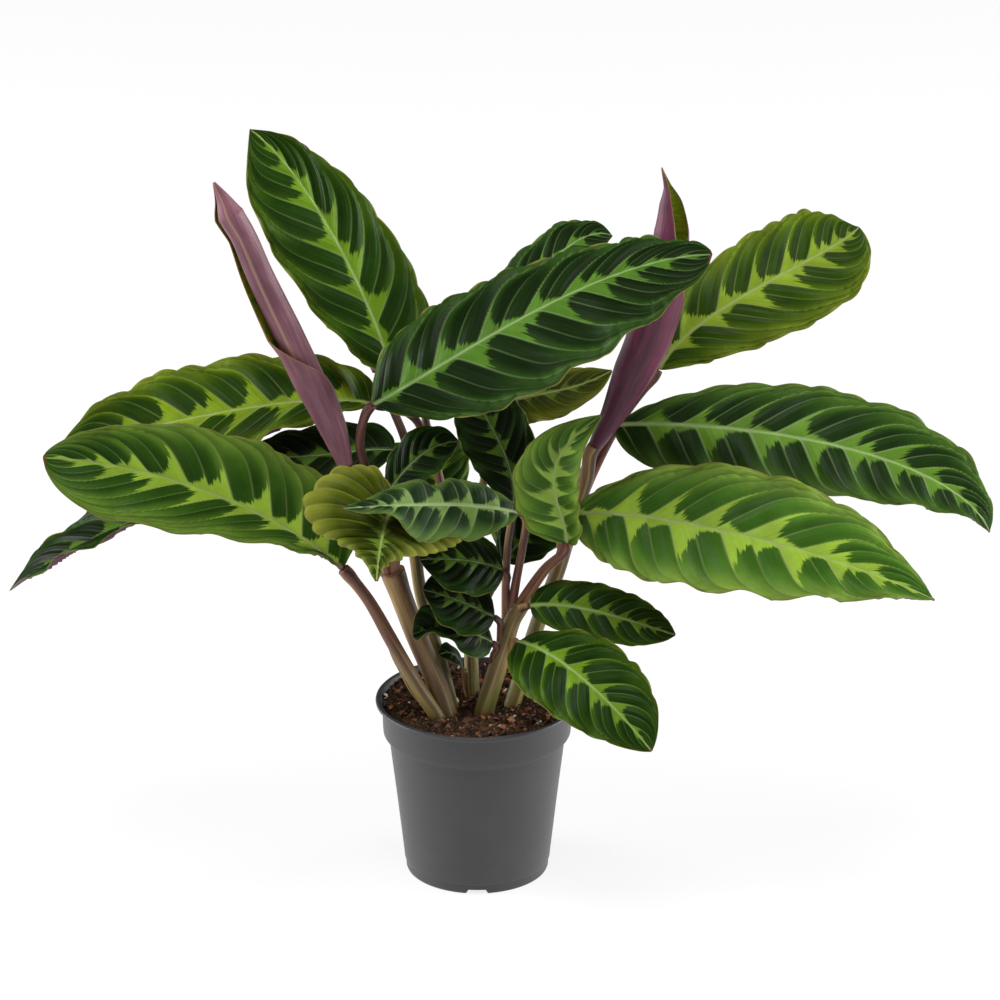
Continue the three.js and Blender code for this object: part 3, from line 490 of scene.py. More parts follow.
def rolled_skin(name, colour, light, streak):
    """Outer skin of a leaf still rolled up, which is its underside: plum with fine darker
    and lighter streaks along the roll, thirty to a turn, in clouds of 45 mm, and a line along
    its midrib, pale where the value rib is above 0 and dark where it is below 0; the dark line
    is painted shade in the crease over the midrib."""
    def paint(tree):
        skin = add(tree, "UVMap", uv_map="skin")
        stretched = add(tree, "Mapping", {"Vector": skin, "Scale": (30.0, 1.6, 1.0)})
        grain = add(tree, "TexNoise", {"Vector": stretched, "Scale": 1.0, "Detail": 4.0},
                    noise_dimensions="2D")
        cloud = add(tree, "TexNoise", {"Vector": add(tree, "TexCoord", out="Object"),
                                       "Scale": 22.0, "Detail": 3.0})
        ground = add(tree, "Mix", {0: add(tree, "MapRange", {0: cloud, 1: 0.35, 2: 0.65}),
                                   6: linear(colour), 7: linear(light)}, out=2, data_type="RGBA")
        ground = add(tree, "Mix", {0: add(tree, "MapRange", {0: grain, 1: 0.4, 2: 0.75, 4: 0.6}),
                                   6: ground, 7: linear(streak)}, out=2, data_type="RGBA")
        rib = add(tree, "Attribute", out="Fac", attribute_name="rib")
        # the value rib above 0 paints the midrib pale; below 0 it paints a dark line of painted shade
        # in the crease over the midrib
        ground = add(tree, "Mix", {0: add(tree, "MapRange", {0: rib}), 6: ground,
                                   7: linear("#b08a72")}, out=2, data_type="RGBA")
        ground = add(tree, "Mix", {0: add(tree, "MapRange", {0: rib, 2: -1.0}), 6: ground,
                                   7: linear("#3e1c30")}, out=2, data_type="RGBA")
        dry = add(tree, "Attribute", out="Fac", attribute_name="dry")
        return add(tree, "Mix", {0: dry, 6: ground, 7: linear("#8c5f45")}, out=2,
                   data_type="RGBA")

    def relief(tree):
        stretched = add(tree, "Mapping", {"Vector": add(tree, "UVMap", uv_map="skin"),
                                          "Scale": (60.0, 2.0, 1.0)})
        return add(tree, "TexNoise", {"Vector": stretched, "Scale": 1.0, "Detail": 2.0},
                   noise_dimensions="2D")
    return surface(name, 0.48, 1.45, paint, relief, 0.0002)


def rolled_inside():
    """Inner face of a rolled leaf: fresh olive green, striped by the lateral veins."""
    def paint(tree):
        skin = add(tree, "UVMap", uv_map="skin")
        stretched = add(tree, "Mapping", {"Vector": skin, "Scale": (6.0, 14.0, 1.0),
                                          "Rotation": (0.0, 0.0, 0.6)})
        grain = add(tree, "TexNoise", {"Vector": stretched, "Scale": 1.0, "Detail": 3.0},
                    noise_dimensions="2D")
        return add(tree, "Mix", {0: add(tree, "MapRange", {0: grain, 1: 0.35, 2: 0.65}),
                                 6: linear("#a09a1c"), 7: linear("#5f8420")}, out=2,
                   data_type="RGBA")
    return surface("rolled_blade_green_inside", 0.42, 1.45, paint)


# ---------------------------------------------------------------- the leaves
# rib: control points of the midrib from base to tip; wide: full width; widest: where, 0 at
# the base, or that place of the left and the right half; blunt: powers of the half width at
# base and tip; roll: turn about the midrib at base and tip, degrees; fold: rise of each half over
# its width; droop: fall of the margins; waves along each margin; heading: compass direction
# of the leaf where it isn't its tip's; look: which of the palettes; flames: how many on each
# side; reach and tip_reach: how far they go out, as a share of the half width.
# A fan has margins instead of widest, fold, droop and waves: each half spans from the midrib
# to the smooth line through its margin's points, bowed up by bow; slant says how far the
# lateral veins lean to the tip, on the left and the right half where it has two numbers.
LEAVES = {
    "leaf_high_left": dict(
        rib=[[-57, 4, 349], [-49, 24, 357], [-104, 41, 488], [-151, 49, 519]], wide=88,
        widest=(0.65, 0.36), blunt=(0.9, 0.92),
        roll=[34, 31], fold=0.08, droop=0.13, waves=5, look="deep", flames=8, reach=0.46),
    "leaf_front_upper": dict(
        rib=[[-69, -21, 349], [-18, -35, 383], [80, -54, 465], [153, -69, 470]], wide=98,
        widest=(0.38, 0.52), blunt=(0.9, 0.57),
        roll=[-66, -24], fold=-0.08, droop=0.22, waves=6, slant=(0.75, 1.15),
        look="cool", flames=9, reach=0.46),
    "leaf_back_left": dict(
        rib=[[-71, 24, 333], [-111, 40, 340], [-216, 48, 309], [-286, 50, 293]], wide=90,
        widest=(0.71, 0.55), blunt=(0.41, 0.85),
        roll=[29, 35], fold=0.16, droop=0.07, waves=5, slant=(1, 0.8),
        look="moss", flames=8, reach=0.55),
    "leaf_front_left": dict(
        rib=[[-90, -33, 236], [-118, -38, 267], [-193, -49, 317], [-286, -59, 326]], wide=90,
        widest=(0.74, 0.36), blunt=(0.55, 0.62),
        roll=[30, 60], fold=0.33, droop=-0.03, waves=5, slant=(1.4, 0.7),
        look="fresh", flames=8, reach=0.5),
    "leaf_low_left": dict(
        rib=[[-98, 8, 267], [-180, 14, 288], [-264, 16, 244], [-321, 18, 199]], wide=74, widest=0.62,
        roll=[6, 0], fold=0.24, droop=0, waves=5, look="shade", flames=8, reach=0.4),
    "leaf_back_centre": dict(
        rib=[[-33, 34, 335], [7, 46, 372], [60, 60, 456], [92, 66, 439]], wide=63, widest=0.52,
        roll=[-16, -19], fold=0.07, droop=0.14, waves=5, look="cool", flames=7, reach=0.42),
    "leaf_upper_right": dict(
        rib=[[124, 38, 353], [142, 44, 395], [244, 53, 430], [259, 67, 445]], wide=80, widest=0.61,
        roll=[-49, -46], fold=0, droop=0.18, waves=5, slant=(0.75, 1.2),
        look="yellow", flames=8, reach=0.52),
    "leaf_mid_right": dict(
        rib=[[92, 16, 321], [171, 20, 325], [325, 14, 304], [347, -12, 254]], wide=83,
        widest=(0.56, 0.36), blunt=(0.84, 1),
        roll=[-62, -28], fold=0.12, droop=0.09, waves=6, slant=(1.3, 0.6),
        look="mild", flames=10, reach=0.55),
    "leaf_low_right": dict(
        rib=[[62, -22, 271], [103, -44, 287], [229, -60, 264], [306, -64, 226]], wide=98,
        widest=(0.58, 0.46), blunt=(0.9, 1.1),
        roll=[-67, -18], fold=0.17, droop=0.04, waves=6, slant=(1.15, 0.5),
        look="bright", flames=8.5, reach=0.62),
    "leaf_small_right": dict(
        rib=[[36, -26, 206], [66, -32, 214], [108, -39, 198], [134, -48, 194]], wide=40, widest=0.45,
        roll=[-52, -51], fold=0.11, droop=0.1, waves=4, look="deep", flames=7, reach=0.5),
    "leaf_drooping_right": dict(
        rib=[[27, -28, 181], [45, -75, 199], [81, -109, 185], [116, -129, 145]], wide=66,
        widest=(0.61, 0.46), blunt=(0.79, 0.77),
        roll=[-32, -41], fold=0.06, droop=0.13, waves=5, look="deep", flames=7, reach=0.45),
    "leaf_folded": dict(
        rib=[[61, -37, 256], [60, -39, 287], [30, -42, 312], [84, -50, 353]], wide=56,
        widest=(0.4, 0.48), blunt=(0.5, 1),
        roll=[4, -5], fold=0.41, droop=-0.05, waves=5, heading=60,
        look="soft", flames=6, reach=0.7),
    "leaf_dark_centre": dict(
        rib=[[25, -6, 270], [29, 4, 302], [2, 8, 330], [-2, 4, 352]], wide=51, widest=0.55,
        roll=[-8, -9], fold=0.09, droop=0.1, waves=4, heading=100,
        look="shade", flames=6, reach=0.4),
    "leaf_small_left": dict(
        rib=[[-60, -20, 286], [-46, -20, 306], [-34, -19, 321], [-12, -16, 321]], wide=40, widest=0.55,
        roll=[-40, -38], fold=0.13, droop=0.08, waves=3, look="shade", flames=4, reach=0.35),
    "leaf_front_centre": dict(
        rib=[[30, -25, 273], [-8, -50, 292], [-44, -78, 299], [-87, -108, 309]], wide=50,
        roll=[0, 0], bow=[3, 3], slant=0.4, look="grey", flames=7, reach=0.62,
        margins=[
            [[29, -26, 273], [23, -34, 269], [11, -46, 267], [-4, -59, 266], [-17, -70, 274],
             [-32, -80, 273], [-41, -87, 279], [-48, -91, 290], [-57, -95, 300], [-72, -102, 303],
             [-86, -109, 309]],
            [[31, -24, 273], [23, -24, 281], [11, -28, 292], [-4, -36, 300], [-17, -45, 306],
             [-27, -51, 303], [-37, -59, 310], [-55, -73, 311], [-69, -86, 308], [-80, -97, 308],
             [-88, -107, 309]]]),
    "leaf_olive": dict(
        rib=[[-55, -35, 274], [-56, -62, 296], [-62, -97, 294], [-65, -113, 260]], wide=99,
        roll=[0, 0], heading=265, bow=[3, 5], slant=0.05,
        look="olive", flames=8, reach=0.15, tip_reach=0.7,
        margins=[
            [[-54, -35, 274], [-38, -40, 281], [-20, -54, 277], [-10, -64, 268], [-20, -70, 264],
             [-32, -80, 265], [-50, -90, 266], [-60, -101, 265], [-64, -113, 260]],
            [[-56, -35, 274], [-56, -39, 296], [-67, -42, 312], [-83, -48, 317], [-103, -58, 312],
             [-115, -72, 297], [-106, -84, 283], [-88, -92, 277], [-76, -99, 271],
             [-66, -113, 260]]]),
    "leaf_inner_left": dict(
        rib=[[18, -16, 228], [4, -27, 240], [-18, -36, 245], [-38, -44, 247]], wide=52, widest=0.5,
        roll=[45, 45], fold=0.1, droop=0.15, waves=3, look="shade", flames=5, reach=0.4),
    "leaf_inner_low": dict(
        rib=[[12, -24, 197], [-4, -32, 209], [-18, -38, 218], [-36, -46, 226]], wide=48, widest=0.5,
        roll=[50, 50], fold=0.1, droop=0.13, waves=3, look="shade", flames=5, reach=0.4),
    "leaf_curled": dict(
        rib=[[11, -24, 178], [-4, -34, 192], [-25, -45, 200], [-43, -52, 196]], wide=44,
        roll=[0, 0], bow=[2, 2], slant=0.5, look="shade", flames=5, reach=0.4,
        margins=[
            [[11, -25, 177], [8, -30, 172], [0, -42, 174], [-10, -48, 181], [-16, -50, 190],
             [-24, -54, 195], [-30, -56, 199], [-40, -55, 193], [-43, -53, 195]],
            [[11, -23, 179], [6, -27, 193], [-3, -30, 200], [-14, -33, 201], [-23, -36, 205],
             [-25, -38, 210], [-35, -43, 214], [-41, -49, 210], [-43, -51, 197]]]),
    "leaf_lowest": dict(
        rib=[[-9, -6, 150], [-12, -12, 164], [-18, -16, 170], [-26, -18, 166]], wide=20, widest=0.5,
        roll=[30, 30], fold=0.1, droop=0.1, waves=2, look="shade", flames=3, reach=0.3),
    "leaf_shaded_left": dict(
        rib=[[-56, 8, 306], [-86, 16, 306], [-118, 21, 290], [-160, 23, 298]], wide=56, widest=0.48,
        roll=[30, 30], fold=0.12, droop=0.1, waves=3, look="shade", flames=5, reach=0.3),
    "leaf_olive_back": dict(
        rib=[[16, 22, 319], [16, 32, 345], [50, 40, 326], [92, 44, 350]], wide=42, widest=0.49,
        roll=[-38, -39], fold=0.06, droop=0.15, waves=3, look="olive", flames=6, reach=0.3),
    "leaf_shaded_right": dict(
        rib=[[18, 26, 218], [32, 34, 232], [44, 42, 240], [60, 50, 246]], wide=44, widest=0.5,
        roll=[-30, -30], fold=0.1, droop=0.1, waves=3, look="shade", flames=4, reach=0.4),
    "leaf_rear_left": dict(
        rib=[[-22, 40, 250], [-34, 75, 292], [-44, 120, 280], [-50, 160, 236]], wide=62, widest=0.5,
        roll=[0, 0], fold=0.12, droop=0.12, waves=5, look="deep", flames=7, reach=0.45),
    "leaf_rear_right": dict(
        rib=[[22, 44, 216], [34, 75, 250], [46, 112, 244], [54, 150, 206]], wide=56, widest=0.5,
        roll=[0, 0], fold=0.12, droop=0.12, waves=4, look="fresh", flames=7, reach=0.45),
}
BLADE_END = 1.6  # width left at the base and at the tip
BLADE_THICK = 0.5
KEEL = 1.2  # how far the midrib stands out underneath


def rib_line(leaf, t):
    """The midrib as a cubic Bezier curve: its place, its direction, and the ways to the right
    and up. Right is level, square to the midrib, then turned about it by the leaf's roll."""
    a, b, c, d = np.array(leaf["rib"], float)
    t = t[:, None]
    q = 1 - t
    place = q ** 3 * a + 3 * q * q * t * b + 3 * q * t * t * c + t ** 3 * d
    along = unit(q * q * (b - a) + 2 * q * t * (c - b) + t * t * (d - c))
    reach = d - a
    if "heading" in leaf:
        heading = math.radians(leaf["heading"])
        reach = np.array([math.cos(heading), math.sin(heading), 0])
    level = unit(np.array([reach[1], -reach[0], 0]))
    right = unit(level - along * (along @ level)[:, None])
    up = np.cross(right, along)
    roll = np.radians(lerp(*leaf["roll"], t))
    turned = right * np.cos(roll) + up * np.sin(roll)
    return place, along, turned, up * np.cos(roll) - right * np.sin(roll)


def flame_count(leaf, t, s, random):
    """How many flames lie between the base and a point, measured along the lateral veins.
    A vein leaves the midrib at about 45 degrees and bends to the tip near the margin, so the
    point belongs to the place t - bend on the midrib. Flames grow shorter to the tip."""
    length = np.linalg.norm(np.diff(np.array(leaf["rib"], float), axis=0), axis=1).sum()
    left, right = np.broadcast_to(leaf.get("slant", 1), 2)
    bend = 0.5 * leaf["wide"] / length * (0.7 + 0.75 * t) * np.where(s > 0, right, left)
    root = t - bend * (0.72 * np.abs(s) ** 0.8 + 0.22 * np.abs(s) ** 3 + 0.5 * np.abs(s) ** 10)
    share = 1.25 - 0.5 * np.linspace(-0.5, 1, int(leaf["flames"] * 1.5))
    share = share * random.uniform(0.82, 1.18, len(share))
    knots = np.concatenate([[0], np.cumsum(share)])
    knots = knots / knots[-1] * 1.55 - 0.5
    return np.interp(root, knots, np.arange(len(knots)))


def blade_form(leaf, seed):
    """The blade as a grid over t (base to tip) and s (left margin -1, right margin 1). Half
    width: a rounded lozenge, 1 - |2u - 1|^2.3 to a power from base to tip. Height over the
    midrib: fold along |s|, minus droop along s squared, plus the waves of the margin. A fan
    spans straight from the midrib to its margins, with a bow of 4 |s| (1 - |s|) sin(pi t).
    Along the normal: pleats puffed up between the lateral veins, deeper between every second
    one, a frill at the margin and a groove over the midrib."""
    random = np.random.default_rng(seed)
    wide = leaf["wide"]
    rows = 150 if wide > 60 else 110 if wide > 45 else 80
    t = np.linspace(0, 1, rows + 1)
    spread = np.linspace(-1, 1, 45)
    s = (np.sign(spread) * np.abs(spread) ** 1.3)[None, :]
    place, _, right, up = rib_line(leaf, t)
    out = np.abs(s)
    edges = [curve_points(line, t)[0] for line in leaf.get("margins", [])]
    t = t[:, None]
    left = flame_count(leaf, t, s, random)
    other = flame_count(leaf, t, s, random) + 40 + random.uniform(0.3, 0.7)
    flames = np.where(s > 0, other, left)
    major, minor = np.abs(np.sin(math.pi * flames)), np.abs(np.sin(TURN * flames))
    ends = smooth(0, 0.12, t) * smooth(1, 0.85, t)
    scallop = 0.995 - 0.035 * out ** 6 * (1 - minor) * ends
    if edges:
        span = np.where((s > 0)[..., None], edges[1][:, None], edges[0][:, None]) - place[:, None]
        half = np.linalg.norm(span, axis=-1)
        bow = np.where(s > 0, leaf["bow"][1], leaf["bow"][0])
        bow = 4 * bow * out * (1 - out) * np.sin(math.pi * t)
        grid = place[:, None] + span * (out * scallop)[..., None] + up[:, None] * bow[..., None]
    else:
        widest_left, widest_right = np.broadcast_to(leaf["widest"], 2)
        u = t ** (math.log(0.5) / np.log(np.where(s > 0, widest_right, widest_left)))
        power = lerp(*leaf.get("blunt", (0.5, 0.8)), t)
        outline = np.maximum(1 - np.abs(2 * u - 1) ** 2.3, 0) ** power
        half = np.maximum(0.495 * wide * outline, BLADE_END / 2)
        tilt = math.hypot(1, leaf["fold"])
        phase = leaf["waves"] * t - 0.5 * out + np.where(s > 0, 0.35, 0)
        ripple = 0.036 * wide * out ** 1.5 * np.sqrt(np.sin(math.pi * t).clip(0)) * np.sin(TURN * phase)
        rise = half * (leaf["fold"] * out / tilt - leaf["droop"] * s * s) + ripple
        grid = place[:, None] + right[:, None] * (half * scallop * s / tilt)[..., None]
        grid = grid + up[:, None] * rise[..., None]
    puffs = 0.6 * major ** 0.8 + 0.5 * minor ** 0.7 - 0.7
    pleat = 0.064 * wide * puffs * np.sqrt(out) * (1 - 0.5 * out ** 2) * ends
    frill = 0.012 * wide * out ** 2.5 * np.sin(TURN * flames + random.uniform(0, TURN)) * ends
    groove = 0.5 * np.exp(-(half * s / 1.6) ** 2) * (1 - t)
    normal = unit(np.cross(np.gradient(grid, axis=1), np.gradient(grid, axis=0)))
    return grid + normal * (pleat + frill - groove)[..., None], t, s, half, left, other


def leaf_blade(name, leaf, seed, palettes):
    """The blade_form made a sheet, with the maps and the value that its material reads. Under
    the midrib the lower side goes down by a keel of exp(-(distance / 1.3)^2)."""
    grid, t, s, half, left, other = blade_form(leaf, seed)
    rows, cols = grid.shape[:2]
    points, faces, side = leafy(grid, BLADE_THICK * (1 - 0.4 * np.abs(s) ** 8))
    normal = unit(np.cross(np.gradient(grid, axis=1), np.gradient(grid, axis=0)))
    keel = KEEL * (1 - 0.7 * t) * np.exp(-(half * s / 1.3) ** 2)
    points[rows * cols:] -= (normal * keel[..., None]).reshape(-1, 3)
    # a corner's place in the flames is read from its own half of the blade
    centre = cols // 2
    column = faces % (rows * cols) % cols
    on_left = (column.mean(axis=1) < centre)[:, None] | np.zeros((1, 4), bool)
    index = faces % (rows * cols)
    out = np.broadcast_to(np.abs(s), (rows, cols)).ravel()
    place = np.where(on_left, left.ravel()[index], other.ravel()[index])
    veins = np.stack([place, out[index]], -1)
    down = np.broadcast_to(t, (rows, cols)).ravel()
    aside = (half * s).ravel() * 0.01
    blade = np.stack([down[index], aside[index]], -1)
    reach = lerp(leaf["reach"], leaf.get("tip_reach", leaf["reach"]), smooth(0.5, 0.75, t))
    reach = reach * smooth(-0.12, 0.16, t) * (1 - 0.75 * smooth(0.7, 1.0, t))
    reach = np.broadcast_to(reach, (rows, cols)).ravel()
    upper, under = palettes[leaf["look"]]
    made = piece(name + "_blade", points, faces, [upper, under], (side == 1).astype(int),
                 maps={"veins": veins, "blade": blade},
                 values={"reach": np.concatenate([reach, reach])})
    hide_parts(name)
    return made


# ---------------------------------------------------------------- sheaths and petioles
# route: points from the soil up; radius: at its start and end; leaf or spear: what it
# carries; ripe: colour of the skin at its start and end; lap: how far the outer edge of a
# sheath stands over the inner one, as a share of the radius; seam: where that edge is, as an
# angle from the right over the back, at its start and end.
SHOOTS = {
    "shoot_left": [
        dict(route=[[-22, -26, 107], [-26, -28, 123], [-36, -27, 140], [-46, -27, 158], [-58, -28, 182],
                    [-73, -30, 212]], radius=[6.4, 4], leaf="leaf_front_left", ripe=[0.12, 0.85],
             lap=0.16, seam=[5.6, 4.6]),
        dict(route=[[-16, -22, 107], [-19, -23, 123], [-25, -20, 141], [-33, -18, 161], [-42, -17, 184],
                    [-51, -17, 210], [-57, -18, 228]], radius=[7.5, 8.5], ripe=[0.3, 0.45], lap=0.18,
             seam=[5.2, 5.0]),
        dict(route=[[-14, -13, 107], [-17, -13, 123], [-23, -8, 149], [-31, -4, 178], [-38, -1, 205],
                    [-42, 0, 235]], radius=[5.5, 4.5], ripe=[0.05, 0.1], lap=0.16, seam=[4.6, 4.6]),
        dict(route=[[-20, -17, 107], [-30, -12, 120], [-43, -9, 134], [-51, -8, 148], [-58, -8, 162],
                    [-61, -8, 171]], radius=[3.4, 0.8], ripe=[-0.3, -0.8]),
        dict(route=[[-57, -17, 225], [-66, -17, 262], [-74, -17, 300], [-78, -19, 322]], radius=[4, 3],
             leaf="leaf_front_upper", ripe=[0.7, 1.0]),
        dict(route=[[-41, 0, 228], [-38, 5, 278], [-35, 9, 306], [-40, 14, 324], [-54, 19, 332]],
             radius=[3.4, 2.6], leaf="leaf_back_left", ripe=[0.6, 1.0]),
        dict(route=[[-42, 0, 228], [-44, 0, 280], [-48, 1, 315]], radius=[3.4, 2.8],
             leaf="leaf_high_left", ripe=[0.6, 1.0]),
        dict(route=[[-55, -17, 215], [-68, -10, 235], [-84, 2, 256]], radius=[3.6, 2.6],
             leaf="leaf_low_left", ripe=[0.6, 1.0]),
        dict(route=[[-42, 0, 228], [-46, 3, 272], [-50, 5, 296]], radius=[3, 2.2],
             leaf="leaf_shaded_left", ripe=[0.6, 1.0]),
        dict(route=[[-56, -19, 224], [-54, -25, 250]], radius=[3.6, 2.6],
             leaf="leaf_olive", ripe=[0.5, 0.9]),
        dict(route=[[-56, -16, 218], [-62, -18, 250]], radius=[3, 2.2],
             leaf="leaf_small_left", ripe=[0.6, 1.0]),
        dict(route=[[-57, -18, 222], [-70, -19, 255], [-80, -20, 282]], radius=[4.4, 5],
             spear="spear_left", ripe=[0.6, 0.8]),
    ],
    "shoot_centre": [
        dict(route=[[3, -20, 107], [5, -21, 123], [9, -19, 138], [14, -17, 154], [19, -15, 171],
                    [24, -14, 189], [30, -15, 203]], radius=[7.5, 6.5], ripe=[0.1, 0.35], lap=0.18,
             seam=[4.2, 4.8]),
        dict(route=[[28, -15, 198], [36, -19, 214], [47, -25, 233]], radius=[4.4, 3],
             leaf="leaf_folded", ripe=[0.45, 0.8]),
        dict(route=[[22, -14, 188], [27, -16, 221], [31, -18, 245]], radius=[3.4, 2.4],
             leaf="leaf_front_centre", ripe=[0.6, 0.95]),
        dict(route=[[20, -14, 182], [20, -11, 226], [22, -9, 250]], radius=[3.2, 2.4],
             leaf="leaf_dark_centre", ripe=[0.6, 0.95]),
        dict(route=[[26, -15, 195], [30, -18, 200]], radius=[3, 2.2],
             leaf="leaf_small_right", ripe=[0.5, 0.8]),
        dict(route=[[20, -14, 168], [24, -19, 170]], radius=[3, 2.2],
             leaf="leaf_drooping_right", ripe=[0.3, 0.6]),
        dict(route=[[22, -14, 190], [20, -14, 215]], radius=[2.8, 2],
             leaf="leaf_inner_left", ripe=[0.6, 0.9]),
        dict(route=[[16, -14, 170], [16, -19, 185]], radius=[2.8, 2],
             leaf="leaf_inner_low", ripe=[0.6, 0.9]),
        dict(route=[[12, -14, 150], [11, -19, 166]], radius=[2.6, 2],
             leaf="leaf_curled", ripe=[0.6, 0.9]),
    ],
    "shoot_right": [
        dict(route=[[21, -10, 107], [24, -9, 123], [30, -3, 141], [37, 1, 165], [45, 3, 190],
                    [55, 3, 218], [61, 2, 239], [68, 1, 265], [75, 1, 290]], radius=[6.5, 4.8],
             spear="spear_right", ripe=[0.02, 0.4], lap=0.16, seam=[5.2, 4.9]),
        dict(route=[[66, 3, 256], [74, 11, 277], [86, 22, 300], [98, 29, 320], [112, 34, 338]],
             radius=[4, 2.8], leaf="leaf_upper_right", ripe=[0.6, 1.0]),
        dict(route=[[66, 3, 258], [72, 9, 285], [80, 13, 308]], radius=[4, 2.8],
             leaf="leaf_mid_right", ripe=[0.6, 1.0]),
        dict(route=[[59, 2, 232], [57, -6, 250]], radius=[4, 2.8],
             leaf="leaf_low_right", ripe=[0.6, 0.9]),
    ],
    "shoot_back": [
        dict(route=[[-3, 10, 107], [-3, 11, 123], [-4, 17, 152], [-6, 23, 185], [-10, 28, 215]],
             radius=[5.5, 5], ripe=[0.05, 0.4], lap=0.16, seam=[4.6, 4.6]),
        dict(route=[[-9, 27, 208], [-22, 30, 262], [-32, 32, 305]], radius=[3.4, 2.6],
             leaf="leaf_back_centre", ripe=[0.5, 1.0]),
        dict(route=[[-8, 27, 208], [2, 27, 262], [10, 25, 300]], radius=[3.4, 2.4],
             leaf="leaf_olive_back", ripe=[0.5, 1.0]),
        dict(route=[[-6, 23, 180], [2, 23, 205]], radius=[3, 2.2],
             leaf="leaf_shaded_right", ripe=[0.5, 0.9]),
        dict(route=[[-10, 28, 208], [-17, 32, 232]], radius=[3.4, 2.6],
             leaf="leaf_rear_left", ripe=[0.5, 0.9]),
        dict(route=[[-5, 21, 168], [8, 32, 190]], radius=[3.2, 2.4],
             leaf="leaf_rear_right", ripe=[0.4, 0.9]),
        dict(route=[[-5, 8, 107], [-6, 5, 123], [-8, 0, 137]], radius=[2, 1.8], leaf="leaf_lowest",
             ripe=[0.1, 0.5]),
    ],
}
SPEARS = {
    "spear_left": dict(
        axis=[[-88, -20, 306], [-96, -20, 331], [-111, -21, 367], [-126, -22, 402], [-143, -22, 441],
              [-153, -22, 467], [-161, -22, 482], [-165, -22, 492], [-171, -22, 504]],
        radius=[5.5, 9.6, 12, 11.2, 10, 9.4, 9.8, 5.5, 0.8],
        seam=[8.0, 7.2, 5.9, 3.8, 3.3, 3.2, 3.2, 3.2, 3.2],
        turns=[1.5, 1.5, 1.5, 1.4, 1.35, 1.3, 1.2, 1.1, 1.0],
        lift=[0, 0.02, 0.1, 0.3, 0.2, 0.05, 0.1, 0.1, 0],
        rib=[-1.68] * 9, line=0.85),
    "spear_right": dict(
        axis=[[80, 1, 312], [92, 1, 335], [104, 1, 364], [114, 2, 387], [122, 3, 415], [128, 4, 442],
              [130, 4, 463], [129, 5, 482], [127, 5, 493], [123, 5, 506]],
        radius=[4.8, 8.8, 13.5, 15.5, 15.5, 14.5, 12.5, 8, 3, 0.8],
        seam=[6.6, 6.4, 6.25, 6.2, 6.1, 5.3, 4.85, 4.75, 4.7, 4.7],
        turns=[1.5, 1.5, 1.4, 1.3, 1.2, 1.0, 0.82, 0.74, 0.62, 0.5],
        lift=[0, 0, 0, 0, 0.05, 0.08, 0.05, 0, 0, 0],
        # line below 0: a dark line of painted shade in the crease over the midrib
        rib=[4.8] * 10, line=-0.5),
}
NECK = 7
NECK_GAP = 0.6
SPEAR_GAP = 0.5


def stem_route(stem):
    """The route's points, led into the base of the leaf along half the angle between them."""
    points = [np.array(p, float) for p in stem["route"]]
    if "leaf" in stem:
        place, along, _, _ = rib_line(LEAVES[stem["leaf"]], np.array([0.0]))
        neck = unit(unit(place[0] - points[-1]) + along[0])
        points += [place[0] - neck * NECK, place[0] - neck * NECK_GAP]
    if "spear" in stem:
        start, after = (np.array(p, float) for p in SPEARS[stem["spear"]]["axis"][:2])
        along = unit(after - start)
        points += [start - along * NECK, start - along * SPEAR_GAP]
    return points


def stem_form(stem, seed):
    """A tube along the route. Section at angle a from the seam: radius times 1 - lap + lap a
    over a full turn, so a sheath ends in a raised edge; a petiole has no lap. The radius runs
    evenly from start to end, swells a little at the neck, and wavers by 3 percent."""
    random = np.random.default_rng(seed)
    places, along, at = even(stem_route(stem), 2.5)
    side, back = ring_axes(along)
    sides = 28 if stem.get("lap") else 18
    share = (at / at[-1])[:, None]
    lap = stem.get("lap", 0) * smooth(1.0, 0.85, share)
    turn = (np.arange(sides) / (sides - 1))[None, :]
    angle = lerp(*stem.get("seam", [4.7, 4.7]), share) + TURN * np.arange(sides)[None, :] / sides
    waver = 1 + 0.03 * np.sin(at[:, None] / 9 + random.uniform(0, TURN)) * np.sin(2 * angle)
    neck = 1 + (0.16 * np.exp(-((at[-1] - at[:, None] - 5) / 5) ** 2) if "leaf" in stem else 0)
    radius = lerp(*stem["radius"], share) * neck * waver * (1 - lap + lap * turn)
    ring = places[:, None] + side[:, None] * (radius * np.cos(angle))[..., None]
    ring = ring + back[:, None] * (radius * np.sin(angle))[..., None]
    return ring, places, at, share


def shoot(name, stems, skin, seed):
    """All the sheaths and petioles of one shoot in one mesh of closed tubes."""
    points, faces, skins, ripes, first = [], [], [], [], 0
    ends = []
    for number, stem in enumerate(stems):
        ring, places, at, share = stem_form(stem, seed + number)
        rows, sides = ring.shape[:2]
        points += [ring.reshape(-1, 3), places[[0, -1]]]
        wall = quads(rows, sides, wrap=True, first=first)
        faces.append(wall)
        column = np.tile(np.arange(sides), rows - 1)[:, None]
        column = np.tile(np.array([0, 1, 1, 0]), (len(wall), 1)) + column
        row = (wall - first) // sides
        skins.append(np.stack([column / sides, at[row] / 40 + number], -1).reshape(-1, 2))
        ripes.append(np.broadcast_to(lerp(*stem["ripe"], share), (rows, sides)).ravel())
        ripes.append(np.array(stem["ripe"], float))
        j = np.arange(sides)
        after = (j + 1) % sides
        foot, head = first + rows * sides, first + rows * sides + 1
        last = first + (rows - 1) * sides
        ends.append(np.stack([first + after, first + j, np.full(sides, foot)], -1))
        ends.append(np.stack([last + j, last + after, np.full(sides, head)], -1))
        first += rows * sides + 2
    caps = np.concatenate(ends)
    skins.append(np.zeros((caps.size, 2)))
    made = piece(name + "_skin", np.concatenate(points), [np.concatenate(faces), caps], [skin],
                 maps={"skin": np.concatenate(skins)}, values={"ripe": np.concatenate(ripes)})
    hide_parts(name)
    return made


def along_list(values, t):
    """Values at equal steps along a leaf, read in straight lines between them at t."""
    return np.interp(t * (len(values) - 1), np.arange(len(values)), values)


